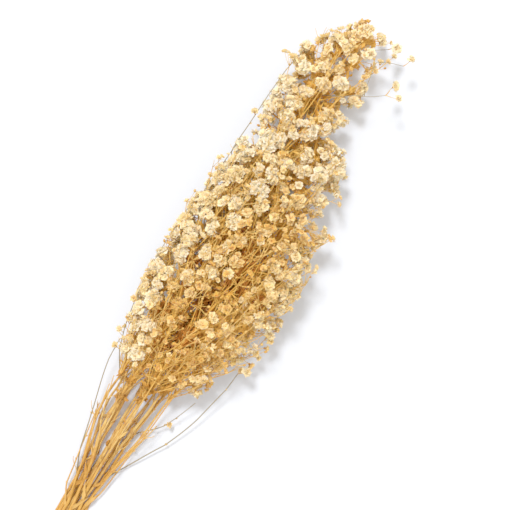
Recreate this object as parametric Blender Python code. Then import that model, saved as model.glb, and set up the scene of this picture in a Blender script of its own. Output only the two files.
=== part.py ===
"""A bunch of dried gypsophila, or baby's breath: twelve cut stems lying together on a table.

The stems lie in a small pile at their cut ends and fan out into one long flower head. Each stem is one
body: the stem with its swollen joints, its forked twigs, its narrow dry leaves and its blooms.

Frame: metres, +Z up from the table, +Y from the cut ends to the flower tips, +X to the right seen from
above. The origin is on the table, under the middle of the bunch.
"""

from dataclasses import dataclass, field

import bpy
import numpy as np

MM = 0.001

# The bunch seen from above, at stations along it: how far along, reach to the left, reach to the right,
# and its thickness from the table up, in millimetres. Zero along is where the stems start to part.
OUTLINE = MM * np.array(
    [
        (-40, 12, 12, 11),
        (0, 15, 14, 13),
        (40, 22, 19, 20),
        (80, 30, 23, 32),
        (120, 35, 32, 48),
        (145, 43, 45, 58),
        (170, 48, 54, 66),
        (200, 52, 67, 72),
        (225, 53, 74, 74),
        (250, 54, 71, 74),
        (280, 50, 69, 72),
        (300, 47, 65, 70),
        (325, 46, 54, 66),
        (355, 40, 56, 62),
        (370, 39, 52, 60),
        (382, 40, 32, 57),
        (392, 41, 29, 55),
        (402, 41, 34, 53),
        (425, 40, 36, 50),
        (444, 39, 30, 47),
        (457, 29, 30, 45),
        (468, 20, 31, 42),
        (487, 8, 26, 36),
    ]
)
CENTRE = MM * np.array([10.4, 222.5, 0])  # of the outline, which becomes the origin

# One row for each stem: its place in the pile of cut ends (column, row), its lane in the head (across and
# up, each from -1 to 1 of the outline's half width and half thickness), how far along its tip is, and its
# diameter at the cut, in millimetres.
STEMS = (
    ((-2.0, 0), (-0.62, -0.50), 318, 3.1),
    ((-1.0, 0), (-0.30, -0.60), 402, 2.8),
    ((0.0, 0), (0.00, -0.58), 432, 3.4),
    ((1.0, 0), (0.34, -0.55), 352, 3.1),
    ((2.0, 0), (0.60, -0.48), 286, 3.2),
    ((-1.5, 1), (-0.26, 0.00), 452, 3.5),
    ((-0.5, 1), (0.14, 0.02), 414, 2.8),
    ((0.5, 1), (0.50, 0.10), 366, 3.4),
    ((1.5, 1), (0.82, 0.00), 292, 3.2),
    ((-1.0, 2), (-0.76, 0.25), 352, 3.1),
    ((0.0, 2), (-0.40, 0.55), 446, 3.5),
    ((1.0, 2), (0.16, 0.58), 470, 3.0),
)
PILE_STEP = 5.2 * MM
PILE_ROW_RISE = 2.7 * MM
PILE_LENGTH = 16 * MM  # the stretch at the cut ends where the stems lie straight
LONGEST_STUB = 5 * MM  # the stems' cut ends are uneven by this much
STEM_SIDES = 6
FLAT_SIDE = np.cos(np.pi / STEM_SIDES)  # middle of a six-sided stem's flat side, as a share of its radius
TIP_THICKNESS = 0.38  # of a stem's tip, as a share of its cut end
STATION_STEP = 40 * MM
KINK = 1.1 * MM  # the most that a stem leans aside at its joints
JOINT_SPACING = 41 * MM
JOINT_SWELLING = 1.22
BETWEEN_STEMS = 0.2 * MM
CLEARANCE = 0.4 * MM  # between what grows on different stems

# The blooms stand in small domes, called cymes, each on the end of a twig: up to three blooms round one
# in the middle. Each bloom here is larger than life and fills the place of three or four real ones.
FIRST_BLOOM = 140 * MM
BLOOM_SPACING = 11.5 * MM
BLOOM_DEPTHS = MM * np.array([4.5, 9.0])  # below the outline
LARGEST_BLOOM = 8.0 * MM
SMALLEST_BLOOM = 3.0 * MM
LARGEST_BUD = 4.0 * MM
LONE_BLOOM = 5.0 * MM  # the largest on the twigs that stand out
LONE_STALK = 7.5 * MM
FOOT_SPACING = 17 * MM  # a foot is the point from which a cyme's stalks spread
FOOT_DEPTHS = MM * np.array([13, 18])
STALK_LENGTHS = MM * np.array([6.5, 22])
STALK_RADIUS = 0.48 * MM
MOST_IN_CYME = 4
SHARING = 2.0 * MM  # how much nearer a stem has to be to a foot for each twig more that it has
MIDDLE_PLACE = 3
TWIG_RADIUS = 0.78 * MM
TWIG_END_RADIUS = 0.6 * MM
HUB_HEIGHT = 1.1 * MM
LONGEST_TWIG = 95 * MM
STEM_DEPTH = 17 * MM  # of the stems' lanes below the outline, within the head
BARE_TOP = MM * np.array([(-14, 100, 34), (15, 192, 90)])  # corners of the space where twigs show bare

# Twigs that stand out of the head where the photograph shows them: the stem that carries each, how far
# along it leaves that stem, its corners (x, y, z) in millimetres in the outline's frame, and its blooms.
LONE_TWIGS = (
    (4, 34, ((27, 60, 5), (41, 85, 7), (52, 118, 12), (61, 155, 20), (62, 172, 25)), 1),
    (0, 20, ((-21, 45, 9), (-29, 76, 13), (-39, 125, 20), (-40, 145, 26)), 1),
    (11, 410, ((31, 429, 42), (46, 440, 38)), 2),
    (11, 440, ((24, 460, 40), (46, 469, 38)), 1),
    (5, 430, ((8, 462, 24), (28, 477, 24)), 1),
)

# Blooms that the photograph shows at the edge of the head: their places in millimetres, as above.
EDGE_BLOOMS = (
    (67, 217, 36),
    (64, 238, 42),
    (64, 262, 34),
    (62, 283, 38),
    (63, 308, 34),
    (49, 352, 32),
    (27, 403, 26),
    (28, 424, 27),
    (23, 453, 24),
    (40, 156, 30),
    (56, 184, 34),
    (-34, 442, 24),
    (-34, 408, 28),
    (-46, 250, 36),
    (-45, 228, 34),
    (-44, 205, 36),
    (-41, 285, 34),
    (-37, 147, 30),
)

# Narrow dry leaves at the lower joints: the stem, how far along, which side, and the length.
LEAVES = (
    (0, 76, -1, 17),
    (1, 52, 1, 14),
    (3, 92, 1, 19),
    (5, 58, -1, 15),
    (6, 118, 1, 20),
    (7, 62, 1, 16),
    (9, 84, -1, 14),
    (10, 110, -1, 20),
    (11, 74, 1, 18),
)
LEAF_HALF_WIDTH = 1.3 * MM
LEAF_HALF_THICKNESS = 0.4 * MM

STEM_COLOUR = (0.56, 0.34, 0.12, 1.0)
SEED = 22


@dataclass
class Bloom:
    """A flower, or a bud if it is small, in one of the four places of its cyme."""

    place: int
    head: np.ndarray
    radius: float
    seed: int


@dataclass
class Spray:
    """A twig, from its root inside what it grows from to its foot, and the cyme of blooms there.

    The cyme faces one way, and its turn about that way is where the first of its outer places lies.
    """

    points: np.ndarray
    radii: np.ndarray
    facing: np.ndarray
    owner: int
    run: int
    turn: float = 0.0
    blooms: list = field(default_factory=list)

    @property
    def foot(self):
        return self.points[-1]


@dataclass
class Fork:
    """A joint where a twig may start: its place, the way that its carrier runs there, and its radius."""

    place: np.ndarray
    ahead: np.ndarray
    radius: float
    run: int
    free: int = 3


@dataclass
class Stem:
    """One cut stem with all that grows on it."""

    points: np.ndarray
    radii: np.ndarray
    sprays: list = field(default_factory=list)
    leaves: list = field(default_factory=list)
    forks: list = field(default_factory=list)


def unit(vector):
    return vector / np.linalg.norm(vector)


def smooth_step(value, low, high):
    t = np.clip((value - low) / (high - low), 0, 1)
    return t * t * (3 - 2 * t)


def outline_at(y):
    """Middle, half width and half thickness of the bunch at y."""
    left, right, thickness = (np.interp(y, OUTLINE[:, 0], OUTLINE[:, k]) for k in (1, 2, 3))
    return (right - left) / 2, (left + right) / 2, thickness / 2


def segment_distances(start, end, starts, ends):
    """Least distance from each of m straight pieces to each of n others, as an m by n array."""
    one, two = (end - start)[:, None], (ends - starts)[None]
    between = start[:, None] - starts[None]
    a = np.maximum((one * one).sum(-1), 1e-12)
    e = np.maximum((two * two).sum(-1), 1e-12)
    b, c, f = (one * two).sum(-1), (one * between).sum(-1), (two * between).sum(-1)
    s = np.clip((b * f - c * e) / np.maximum(a * e - b * b, 1e-16), 0, 1)
    t = np.clip((b * s + f) / e, 0, 1)
    s = np.clip((b * t - c) / a, 0, 1)
    return np.linalg.norm(between + s[..., None] * one - t[..., None] * two, axis=-1)


def beyond(points, distance):
    """What is left of a line of points past a distance along it."""
    steps = np.linalg.norm(np.diff(points, axis=0), axis=1)
    along = np.concatenate([[0], np.cumsum(steps)])
    if distance >= along[-1]:
        return points[-1:]
    start = [np.interp(distance, along, points[:, k]) for k in range(3)]
    return np.vstack([start, points[along > distance]])


class Thicket:
    """All that has grown, as round-ended rods, so that new growth can keep clear of it.

    Each rod knows its owner, the stem that it grows on, and its run, the stretch of stem or twig.
    """

    def __init__(self):
        self.starts, self.ends = np.zeros((0, 3)), np.zeros((0, 3))
        self.radii = np.zeros(0)
        self.owners, self.runs = np.zeros(0, int), np.zeros(0, int)

    def new_run(self):
        return int(self.runs.max(initial=-1)) + 1

    def add(self, points, radius, owner, run):
        count = len(points) - 1
        self.starts = np.vstack([self.starts, points[:-1]])
        self.ends = np.vstack([self.ends, points[1:]])
        self.radii = np.append(self.radii, np.full(count, radius))
        self.owners = np.append(self.owners, np.full(count, owner))
        self.runs = np.append(self.runs, np.full(count, run))

    def room(self, points, passed_over=None):
        """The largest radius that a rod through points may have beside those that aren't passed over."""
        counted = np.full(len(self.radii), True) if passed_over is None else ~passed_over
        if len(points) < 2 or not counted.any():
            return np.inf
        gaps = segment_distances(points[:-1], points[1:], self.starts[counted], self.ends[counted])
        return float((gaps - self.radii[counted]).min()) - CLEARANCE


def stem_paths(rng):
    """The stems' middle lines, from the pile into the lanes, pushed apart wherever two would touch.

    All stems share their stations along Y, so a pair's clearance is a distance in each cross-section.
    """
    last = max(tip for _, _, tip, _ in STEMS) * MM
    stations = np.arange(-STATION_STEP, last + STATION_STEP, STATION_STEP / 2)
    stations = np.sort(np.append(stations, -STATION_STEP + PILE_LENGTH))
    radii = np.array([diameter for _, _, _, diameter in STEMS]) * MM / 2
    paths = np.zeros((len(STEMS), len(stations), 2))
    middle, half_width, half_thickness = outline_at(stations)
    for i, ((column, row), (across, up), _, _) in enumerate(STEMS):
        pile_x, pile_z = column * PILE_STEP, radii[i] * FLAT_SIDE + row * PILE_ROW_RISE
        phase = rng.uniform(0, 2 * np.pi)
        sway = 1.6 * MM * np.sin(stations / (38 * MM) + phase) * smooth_step(stations, 60 * MM, 200 * MM)
        sway += KINK * np.cos(np.pi * stations / JOINT_SPACING + phase) * smooth_step(stations, 0, 70 * MM)
        depth = STEM_DEPTH * smooth_step(stations, 90 * MM, 200 * MM)
        lane_x = middle + across * np.maximum(half_width - depth, half_width * 0.4) + sway
        lane_z = half_thickness + up * np.maximum(half_thickness - depth, half_thickness * 0.3)
        spread = smooth_step(stations, -STATION_STEP + PILE_LENGTH, 75 * MM)
        lift = smooth_step(stations, 0, 165 * MM)
        paths[i, :, 0] = pile_x + (lane_x - pile_x) * spread
        paths[i, :, 1] = pile_z + (lane_z - pile_z) * lift
    in_pile = stations <= -STATION_STEP + PILE_LENGTH
    wanted = radii[:, None] + radii[None, :] + BETWEEN_STEMS + KINK
    np.fill_diagonal(wanted, 0)
    for _ in range(80):
        gap = paths[:, None] - paths[None, :]
        distance = np.linalg.norm(gap, axis=-1)
        short = np.where(in_pile, 0, np.clip(wanted[:, :, None] - distance, 0, None))
        away = gap / np.maximum(distance, 1e-6)[..., None]
        paths += 0.4 * (away * short[..., None]).sum(1)
        paths[:, :, 1] = np.maximum(paths[:, :, 1], radii[:, None] * FLAT_SIDE)
    return stations, paths, radii


def bare_stems(rng):
    """The stems without twigs, from their cut ends to their tips, with a swelling at every joint."""
    stations, paths, radii = stem_paths(rng)
    stems = []
    for i, (_, _, tip, _) in enumerate(STEMS):
        tip = tip * MM
        cut = -STATION_STEP - rng.uniform(0, LONGEST_STUB)
        joints = np.arange(28 * MM + rng.uniform(0, 22 * MM), tip - 15 * MM, JOINT_SPACING)
        between = (joints[:3] + joints[1:4]) / 2
        along = [[cut, -STATION_STEP + PILE_LENGTH, 0, STATION_STEP / 2], joints, between, [tip]]
        along = np.sort(np.concatenate(along))
        x, z = (np.interp(along, stations, paths[i, :, k]) for k in (0, 1))
        thinning = 1 - (1 - TIP_THICKNESS) * np.clip(along / tip, 0, 1)
        swelling = np.where(np.isin(along, joints), JOINT_SWELLING, 1.0)
        thickness = radii[i] * thinning * swelling
        stems.append(Stem(np.stack([x, along, np.maximum(z, thickness * FLAT_SIDE)], 1), thickness))
    return stems


def spokes(direction, count, turn):
    """Unit vectors square to a direction, evenly turned about it."""
    across, up = around(direction)
    angles = turn + 2 * np.pi * np.arange(count) / count
    return np.cos(angles)[:, None] * across + np.sin(angles)[:, None] * up


def forks_of(points, radii, run, first):
    """Forks at a line's inner points, from the first one given on."""
    return [
        Fork(points[k], unit(points[k + 1] - points[k]), float(radii[k]), run)
        for k in range(first, len(points) - 1)
    ]


def around(direction):
    """Two unit vectors square to a direction and to each other; the second is the upper one."""
    across = unit(np.cross((0.0, 0.0, 1.0) if abs(direction[2]) < 0.9 else (0.0, 1.0, 0.0), direction))
    return across, np.cross(direction, across)


def bent_path(start, leaving, end, arriving):
    """A cubic curve of few points from start to end that leaves and arrives in the given directions."""
    length = np.linalg.norm(end - start)
    count = 2 if length < 16 * MM else 3 if length < 36 * MM else 4
    t = np.linspace(0, 1, count)[:, None]
    near, far = start + leaving * length * 0.35, end - arriving * length * 0.3
    return (1 - t) ** 3 * start + 3 * (1 - t) ** 2 * t * near + 3 * (1 - t) * t**2 * far + t**3 * end


def add_spray(stem, owner, points, facing, root_radius, thicket):
    """Adds a twig through points, with the forks along it."""
    run = thicket.new_run()
    radii = np.linspace(min(TWIG_RADIUS, root_radius), TWIG_END_RADIUS, len(points))
    stem.sprays.append(Spray(points, radii, facing, owner, run))
    stem.forks += forks_of(points, radii, run, 1)
    thicket.add(beyond(points, root_radius), TWIG_RADIUS, owner, run)


def grow_spray(stem, owner, foot, facing, thicket):
    """Grows a twig to a foot from the stem's best fork: near by, and bending forward only a little."""
    scored = []
    for fork in stem.forks:
        run = foot - fork.place
        length = np.linalg.norm(run)
        angle = np.degrees(np.arccos(np.clip(fork.ahead @ run / length, -1, 1)))
        if fork.free and 7 * MM < length < LONGEST_TWIG and 8 < angle < 62:
            scored.append((length * (1 + (angle / 38) ** 2), fork))
    for _, fork in sorted(scored, key=lambda found: found[0])[:6]:
        for pull in (0.9, 0.3):
            leaving = unit(fork.ahead * pull + unit(foot - fork.place))
            points = bent_path(fork.place, leaving, foot, facing)
            points[1:, 2] = np.maximum(points[1:, 2], TWIG_RADIUS)
            own_stem, own_run = thicket.owners == owner, thicket.runs == fork.run
            room_beside_others = thicket.room(beyond(points, fork.radius), own_stem)
            if min(room_beside_others, thicket.room(beyond(points, 8 * MM), own_run)) > TWIG_RADIUS:
                fork.free -= 1
                add_spray(stem, owner, points, facing, fork.radius * 0.9, thicket)
                return True
    return False


def points_in_head(rng, depths, spacing, draws, first):
    """Points drawn at a depth below the outline, a spacing apart, and the way out of the head at each."""
    points, ways = np.zeros((0, 3)), np.zeros((0, 3))
    for _ in range(draws):
        y = rng.uniform(first, OUTLINE[-1, 0] - 3 * MM)
        angle, depth = rng.uniform(0, 2 * np.pi), rng.uniform(*depths)
        middle, half_width, half_thickness = outline_at(y)
        across = max(half_width - depth, half_width * 0.25) * np.cos(angle)
        up = max(half_thickness - depth, half_thickness * 0.25) * np.sin(angle)
        point = np.array([middle + across, y, half_thickness + up])
        is_bare = bool((point > BARE_TOP[0]).all() and (point < BARE_TOP[1]).all())
        if not is_bare and (np.linalg.norm(points - point, axis=1) > spacing).all():
            points = np.vstack([points, point])
            ways = np.vstack([ways, unit(np.array([across / half_width, 0.5, up / half_thickness + 0.1]))])
    return points, ways


def grow_bloom(spray, place, head, largest, seed, thicket):
    """Sets a bloom in a place of a cyme, as large as fits there, unless that is too small."""
    foot = spray.foot
    body = np.array([head, head + (head - foot) * 0.01])
    stalk = foot + (head - foot) * np.array([[0.2], [0.5], [0.9]])
    own_stem, own_run = thicket.owners == spray.owner, thicket.runs == spray.run
    room = min(thicket.room(stalk, own_stem), thicket.room(stalk[1:], ~own_run))
    radius = min(largest, thicket.room(body))
    if room > STALK_RADIUS and radius > SMALLEST_BLOOM:
        spray.blooms.append(Bloom(place, head, radius, seed))
        thicket.add(stalk, STALK_RADIUS, spray.owner, spray.run)
        thicket.add(body, radius, spray.owner, spray.run)


def fill_cyme(spray, heads, most, thicket, rng):
    """Turns the cyme to suit its heads, and sets a bloom at each: the one that lies straightest ahead in
    the middle place, and the others round it."""
    directions = heads - spray.foot
    directions /= np.linalg.norm(directions, axis=1)[:, None]
    spray.facing = unit(unit(directions.sum(0)) + 0.8 * unit(spray.foot - spray.points[-2]))
    across, up = around(spray.facing)
    angles = np.arctan2(directions @ up, directions @ across)
    order = list(np.argsort(-(directions @ spray.facing)))
    places = {}
    if len(order) == MOST_IN_CYME or directions[order[0]] @ spray.facing > 0.9:
        places[order.pop(0)] = MIDDLE_PLACE
    if order:
        spray.turn = float(angles[order[0]])
        order.sort(key=lambda k: (angles[k] - spray.turn + 1e-6) % (2 * np.pi))
        halfway = (angles[order[-1]] - spray.turn) % (2 * np.pi) > np.pi
        outer = [0, 2] if len(order) == 2 and halfway else [0, 1, 2]
        places.update(zip(order, outer))
    for k, place in places.items():
        largest = most * rng.uniform(0.82, 1.0)
        grow_bloom(spray, place, heads[k], largest, int(rng.integers(1 << 30)), thicket)


def fill_head(stems, thicket, rng):
    """Draws the blooms' places and gives each to the nearest foot that has a place left for it."""
    heads, _ = points_in_head(rng, BLOOM_DEPTHS, BLOOM_SPACING, 9000, FIRST_BLOOM)
    at_edge = MM * np.array(EDGE_BLOOMS, float)
    is_clear = np.linalg.norm(heads[:, None] - at_edge[None], axis=-1).min(1) > BLOOM_SPACING
    heads = np.vstack([at_edge, heads[is_clear]])
    sprays = [spray for stem in stems for spray in stem.sprays if not spray.blooms]
    feet = np.array([spray.foot for spray in sprays])
    lengths = np.linalg.norm(heads[:, None] - feet[None], axis=-1)
    lengths[(lengths < STALK_LENGTHS[0]) | (lengths > STALK_LENGTHS[1])] = np.inf
    given = [[] for _ in sprays]
    for k in np.argsort(lengths.min(1)):
        for nearest in np.argsort(lengths[k])[:4]:
            if np.isfinite(lengths[k, nearest]) and len(given[nearest]) < MOST_IN_CYME:
                given[nearest].append(heads[k])
                break
    for spray, own in zip(sprays, given):
        if own:
            fill_cyme(spray, np.array(own), LARGEST_BLOOM, thicket, rng)


def distances_to_stems(stems, place):
    """How far a place is from each stem's middle line, measured where a twig to it would start."""
    before = place[1] - 25 * MM
    found = []
    for stem in stems:
        at = [np.interp(before, stem.points[:, 1], stem.points[:, k]) for k in range(3)]
        found.append(np.hypot(place[0] - at[0], place[2] - at[2]) + abs(before - at[1]))
    return np.array(found)


def grow_lone_twigs(stems, thicket, rng):
    for owner, leaves_at, corners, count in LONE_TWIGS:
        stem = stems[owner]
        nearest = min(stem.forks, key=lambda fork: abs(fork.place[1] - leaves_at * MM))
        points = np.vstack([nearest.place, MM * np.array(corners, float)])
        facing = unit(points[-1] - points[-2])
        add_spray(stem, owner, points, facing, nearest.radius * 0.9, thicket)
        out = 0.9 * spokes(facing, 3, rng.uniform(0, 2 * np.pi))[:count] + facing
        fill_cyme(stem.sprays[-1], points[-1] + out * LONE_STALK, LONE_BLOOM, thicket, rng)


def grow_leaves(stems, thicket):
    """The leaves' middle lines: each leaves its joint forward and to its side, and curls up."""
    shape = np.array([(0, 0, 0), (0.14, 0.38, 0.10), (0.30, 0.72, 0.30), (0.34, 0.98, 0.52)])
    for owner, along, side, length in LEAVES:
        stem = stems[owner]
        nearest = min(stem.forks, key=lambda fork: abs(fork.place[1] - along * MM))
        line = nearest.place + shape * length * MM * np.array([side, 1, 1])
        outside = beyond(line, nearest.radius)
        if thicket.room(outside, thicket.owners == owner) > LEAF_HALF_WIDTH:
            stem.leaves.append(line)
            thicket.add(outside, LEAF_HALF_WIDTH, owner, thicket.new_run())


def grow():
    """The whole bunch, as a list of stems. Nothing of one stem comes nearer to another than CLEARANCE."""
    rng = np.random.default_rng(SEED)
    stems = bare_stems(rng)
    thicket = Thicket()
    for owner, stem in enumerate(stems):
        thicket.add(stem.points, float(stem.radii.max()), owner, owner)
        stem.forks = forks_of(stem.points, stem.radii, owner, 3)
    grow_leaves(stems, thicket)
    grow_lone_twigs(stems, thicket, rng)
    for owner, stem in enumerate(stems):
        ahead = unit(stem.points[-1] - stem.points[-2])
        points = np.array([stem.points[-1] - ahead * 2 * MM, stem.points[-1] + ahead * 4 * MM])
        add_spray(stem, owner, points, ahead, stem.radii[-1], thicket)
    feet, ways = points_in_head(rng, FOOT_DEPTHS, FOOT_SPACING, 6000, FIRST_BLOOM)
    nearness = [distances_to_stems(stems, foot) for foot in feet]
    for k in np.argsort([distances.min() for distances in nearness]):
        laden = SHARING * np.array([len(stem.sprays) for stem in stems])
        for owner in np.argsort(nearness[k] + laden)[:6]:
            if grow_spray(stems[owner], int(owner), feet[k], ways[k], thicket):
                break
    fill_head(stems, thicket, rng)
    return stems


class Shape:
    """The points and faces of one closed mesh, gathered ring by ring.

    A ring's points run anticlockwise seen from ahead, so that faces joined to the ring before it point
    outward.
    """

    def __init__(self):
        self.points, self.faces = [], []

    def ring(self, points):
        first = len(self.points)
        self.points += list(points)
        return list(range(first, len(self.points)))

    def cap_start(self, ring):
        self.faces.append(tuple(reversed(ring)))

    def cap_end(self, ring):
        self.faces.append(tuple(ring))

    def peak(self, ring, point):
        top = self.ring([point])[0]
        self.faces += [(a, b, top) for a, b in zip(ring, ring[1:] + ring[:1])]

    def join(self, lower, upper):
        """Triangles between two rings that may have different numbers of points."""
        i, j = 0, 0
        while i < len(lower) or j < len(upper):
            a, b = lower[i % len(lower)], upper[j % len(upper)]
            if i < len(lower) and (i + 0.5) * len(upper) <= (j + 0.5) * len(lower) or j == len(upper):
                i += 1
                self.faces.append((a, lower[i % len(lower)], b))
            else:
                j += 1
                self.faces.append((a, upper[j % len(upper)], b))

    def mesh_object(self, name):
        mesh = bpy.data.meshes.new(name)
        mesh.from_pydata([tuple(point - CENTRE) for point in self.points], [], self.faces)
        return bpy.data.objects.new(name, mesh)


def turned(offsets, before, after):
    """Offsets carried along by the turn that takes one direction to another."""
    axis = np.cross(before, after)
    once = np.cross(axis, offsets)
    return offsets + once + np.cross(axis, once) / (1 + before @ after)


def directions_at(points):
    """The way that a line of points runs at each of them."""
    runs = np.diff(points, axis=0)
    runs /= np.linalg.norm(runs, axis=1)[:, None]
    means = np.vstack([runs[:1], runs[:-1] + runs[1:], runs[-1:]])
    return means / np.linalg.norm(means, axis=1)[:, None]


def stem_shape(stem):
    """A six-sided tube along the stem, with a flat side down."""
    shape = Shape()
    ring = None
    for point, ahead, radius in zip(stem.points, directions_at(stem.points), stem.radii):
        last, ring = ring, shape.ring(point + spokes(ahead, STEM_SIDES, 0) * radius)
        if last is None:
            shape.cap_start(ring)
        else:
            shape.join(last, ring)
    shape.cap_end(ring)
    return shape


def add_bloom(shape, face, spray, bloom):
    """Draws a stalk out of a three-sided face of the hub, and widens it into a cup of pointed petals with
    a raised middle. A bud has three folded petals."""
    rng = np.random.default_rng(bloom.seed)
    corners = np.array([shape.points[k] for k in face])
    direction = unit(bloom.head - corners.mean(0))
    outward = unit(np.cross(corners[1] - corners[0], corners[2] - corners[0]))
    offsets = turned(corners - corners.mean(0), outward, direction)
    offsets /= np.linalg.norm(offsets, axis=1)[:, None]
    cup = bloom.head - direction * bloom.radius * 0.5
    neck = shape.ring(cup + offsets * STALK_RADIUS)
    shape.join(list(face), neck)
    count = 3 if bloom.radius < LARGEST_BUD else 5
    is_notch = np.arange(2 * count) % 2 == 1
    angles = np.pi * np.arange(2 * count) / count
    side = np.cross(direction, offsets[0])
    out = np.cos(angles)[:, None] * offsets[0] + np.sin(angles)[:, None] * side
    reach = bloom.radius * np.where(is_notch, 0.68, 0.97) * rng.uniform(0.88, 1.0, 2 * count)
    rise = bloom.radius * (np.where(is_notch, 0.25, 0.55) + rng.uniform(-0.15, 0.15, 2 * count))
    petals = cup + out * reach[:, None] + direction * rise[:, None]
    top = cup + direction * bloom.radius * rng.uniform(1.05, 1.3)
    if bloom.head[2] < bloom.radius:  # the bloom lies on the table
        drop = min(petals[:, 2].min(), top[2])
        petals[:, 2] -= drop
        top[2] -= drop
    rim = shape.ring(petals)
    shape.join(neck, rim)
    shape.peak(rim, top)


def spray_shape(spray):
    """A three-sided twig that ends in a small hub with four faces for stalks, and the blooms on them."""
    shape = Shape()
    ways = list(directions_at(spray.points)[:-1]) + [spray.facing]
    rings = [spokes(spray.facing, 3, spray.turn)]
    for before, after in zip(ways[:0:-1], ways[-2::-1]):
        rings.insert(0, turned(rings[0], before, after))
    ring = None
    for point, offsets, radius in zip(spray.points, rings, spray.radii):
        last, ring = ring, shape.ring(point + offsets * radius)
        if last is None:
            shape.cap_start(ring)
        else:
            shape.join(last, ring)
    upper = spokes(spray.facing, 3, spray.turn + np.pi / 3) * TWIG_END_RADIUS * 0.7
    top = shape.ring(spray.foot + spray.facing * HUB_HEIGHT + upper)
    faces = [(ring[k], top[k], top[k - 1]) for k in range(3)] + [tuple(top)]
    shape.faces += [(ring[k], ring[(k + 1) % 3], top[k]) for k in range(3)]
    blooms = {bloom.place: bloom for bloom in spray.blooms}
    for place, face in enumerate(faces):
        if place in blooms:
            add_bloom(shape, face, spray, blooms[place])
        else:
            shape.faces.append(face)
    return shape


def leaf_shape(line):
    """A narrow dry leaf, lens-shaped across, widest in its lower half and pointed at its tip."""
    shape = Shape()
    ring = None
    across, up = around(unit(line[-1] - line[0]))
    for middle, share in zip(line[:-1], (0.45, 1.0, 0.8)):
        wide, thick = across * LEAF_HALF_WIDTH * share, up * LEAF_HALF_THICKNESS
        last, ring = ring, shape.ring([middle + wide, middle + thick, middle - wide, middle - thick])
        if last is None:
            shape.cap_start(ring)
        else:
            shape.join(last, ring)
    shape.peak(ring, line[-1])
    return shape


def dried_stem_material(name):
    material = bpy.data.materials.new(name)
    material.use_nodes = True
    shader = material.node_tree.nodes["Principled BSDF"]
    shader.inputs["Base Color"].default_value = STEM_COLOUR
    shader.inputs["Roughness"].default_value = 0.8
    shader.inputs["Metallic"].default_value = 0.0
    return material


def fuse(body, pieces):
    """Joins the pieces to the body by one Boolean union, applies it, and removes the pieces."""
    repeats = bpy.data.collections.new(body.name + "_repeats")
    bpy.context.scene.collection.children.link(repeats)
    for piece in pieces:
        repeats.objects.link(piece)
    union = body.modifiers.new("union", "BOOLEAN")
    union.operation = "UNION"
    union.operand_type = "COLLECTION"
    union.collection = repeats
    union.solver = "MANIFOLD"
    evaluated = body.evaluated_get(bpy.context.evaluated_depsgraph_get())
    body.data = bpy.data.meshes.new_from_object(evaluated)
    body.modifiers.clear()
    for piece in pieces:
        bpy.data.objects.remove(piece)
    bpy.data.collections.remove(repeats)


def build_stem(number, stem):
    """One node: a stem with everything that grows on it, fused into one body."""
    name = f"gypsophila_stem_{number:02d}"
    body = stem_shape(stem).mesh_object(name)
    bpy.context.scene.collection.objects.link(body)
    pieces = [spray_shape(spray).mesh_object("spray") for spray in stem.sprays]
    pieces += [leaf_shape(line).mesh_object("leaf") for line in stem.leaves]
    fuse(body, pieces)
    body.data.name = name
    body.data.materials.clear()
    body.data.materials.append(dried_stem_material(f"dried_gypsophila_{number:02d}"))


def main():
    for old in list(bpy.data.objects):
        bpy.data.objects.remove(old)
    for number, stem in enumerate(grow(), 1):
        build_stem(number, stem)


main()
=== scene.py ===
"""The finished look of a bunch of dried gypsophila, or baby's breath, that lies on a table.

Twelve cut stems grow here by the same rules and from the same values as the plain solids that they
replace. Each gets round ribbed wood, hair-thin stalks, curled dry leaves, and florets of papery petals.

Frame: metres, +Z up from the table, +Y from the cut ends to the flower tips. While they grow, the stems
lie in the outline's own frame, and CENTRE is taken off every point when it goes into a mesh.
"""

from dataclasses import dataclass, field, fields

import bpy
import numpy as np
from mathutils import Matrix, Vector

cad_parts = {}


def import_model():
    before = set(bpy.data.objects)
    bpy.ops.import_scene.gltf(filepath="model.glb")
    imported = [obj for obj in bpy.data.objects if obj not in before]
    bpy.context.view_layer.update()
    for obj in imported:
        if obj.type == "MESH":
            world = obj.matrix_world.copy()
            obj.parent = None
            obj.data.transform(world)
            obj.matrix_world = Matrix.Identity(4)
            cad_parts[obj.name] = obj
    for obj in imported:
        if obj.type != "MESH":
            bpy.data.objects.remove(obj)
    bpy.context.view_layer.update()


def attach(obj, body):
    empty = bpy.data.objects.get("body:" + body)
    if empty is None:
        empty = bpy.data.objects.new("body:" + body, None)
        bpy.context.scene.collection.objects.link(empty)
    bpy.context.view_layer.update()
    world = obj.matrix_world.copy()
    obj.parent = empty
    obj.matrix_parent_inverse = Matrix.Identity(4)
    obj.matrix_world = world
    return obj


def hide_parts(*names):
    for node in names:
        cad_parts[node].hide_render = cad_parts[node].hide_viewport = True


MM = 0.001

# The bunch seen from above, at stations along it: how far along, reach to the left, reach to the right,
# and its thickness from the table up, in millimetres. Zero along is where the stems start to part.
OUTLINE = MM * np.array(
    [
        (-40, 12, 12, 11),
        (0, 15, 14, 13),
        (40, 22, 19, 20),
        (80, 30, 23, 32),
        (120, 35, 32, 48),
        (145, 43, 45, 58),
        (170, 48, 54, 66),
        (200, 52, 67, 72),
        (225, 53, 74, 74),
        (250, 54, 71, 74),
        (280, 50, 69, 72),
        (300, 47, 65, 70),
        (325, 46, 54, 66),
        (355, 40, 56, 62),
        (370, 39, 52, 60),
        (382, 40, 32, 57),
        (392, 41, 29, 55),
        (402, 41, 34, 53),
        (425, 40, 36, 50),
        (444, 39, 30, 47),
        (457, 29, 30, 45),
        (468, 20, 31, 42),
        (487, 8, 26, 36),
    ]
)
CENTRE = MM * np.array([10.4, 222.5, 0])  # of the outline, which becomes the origin

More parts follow.
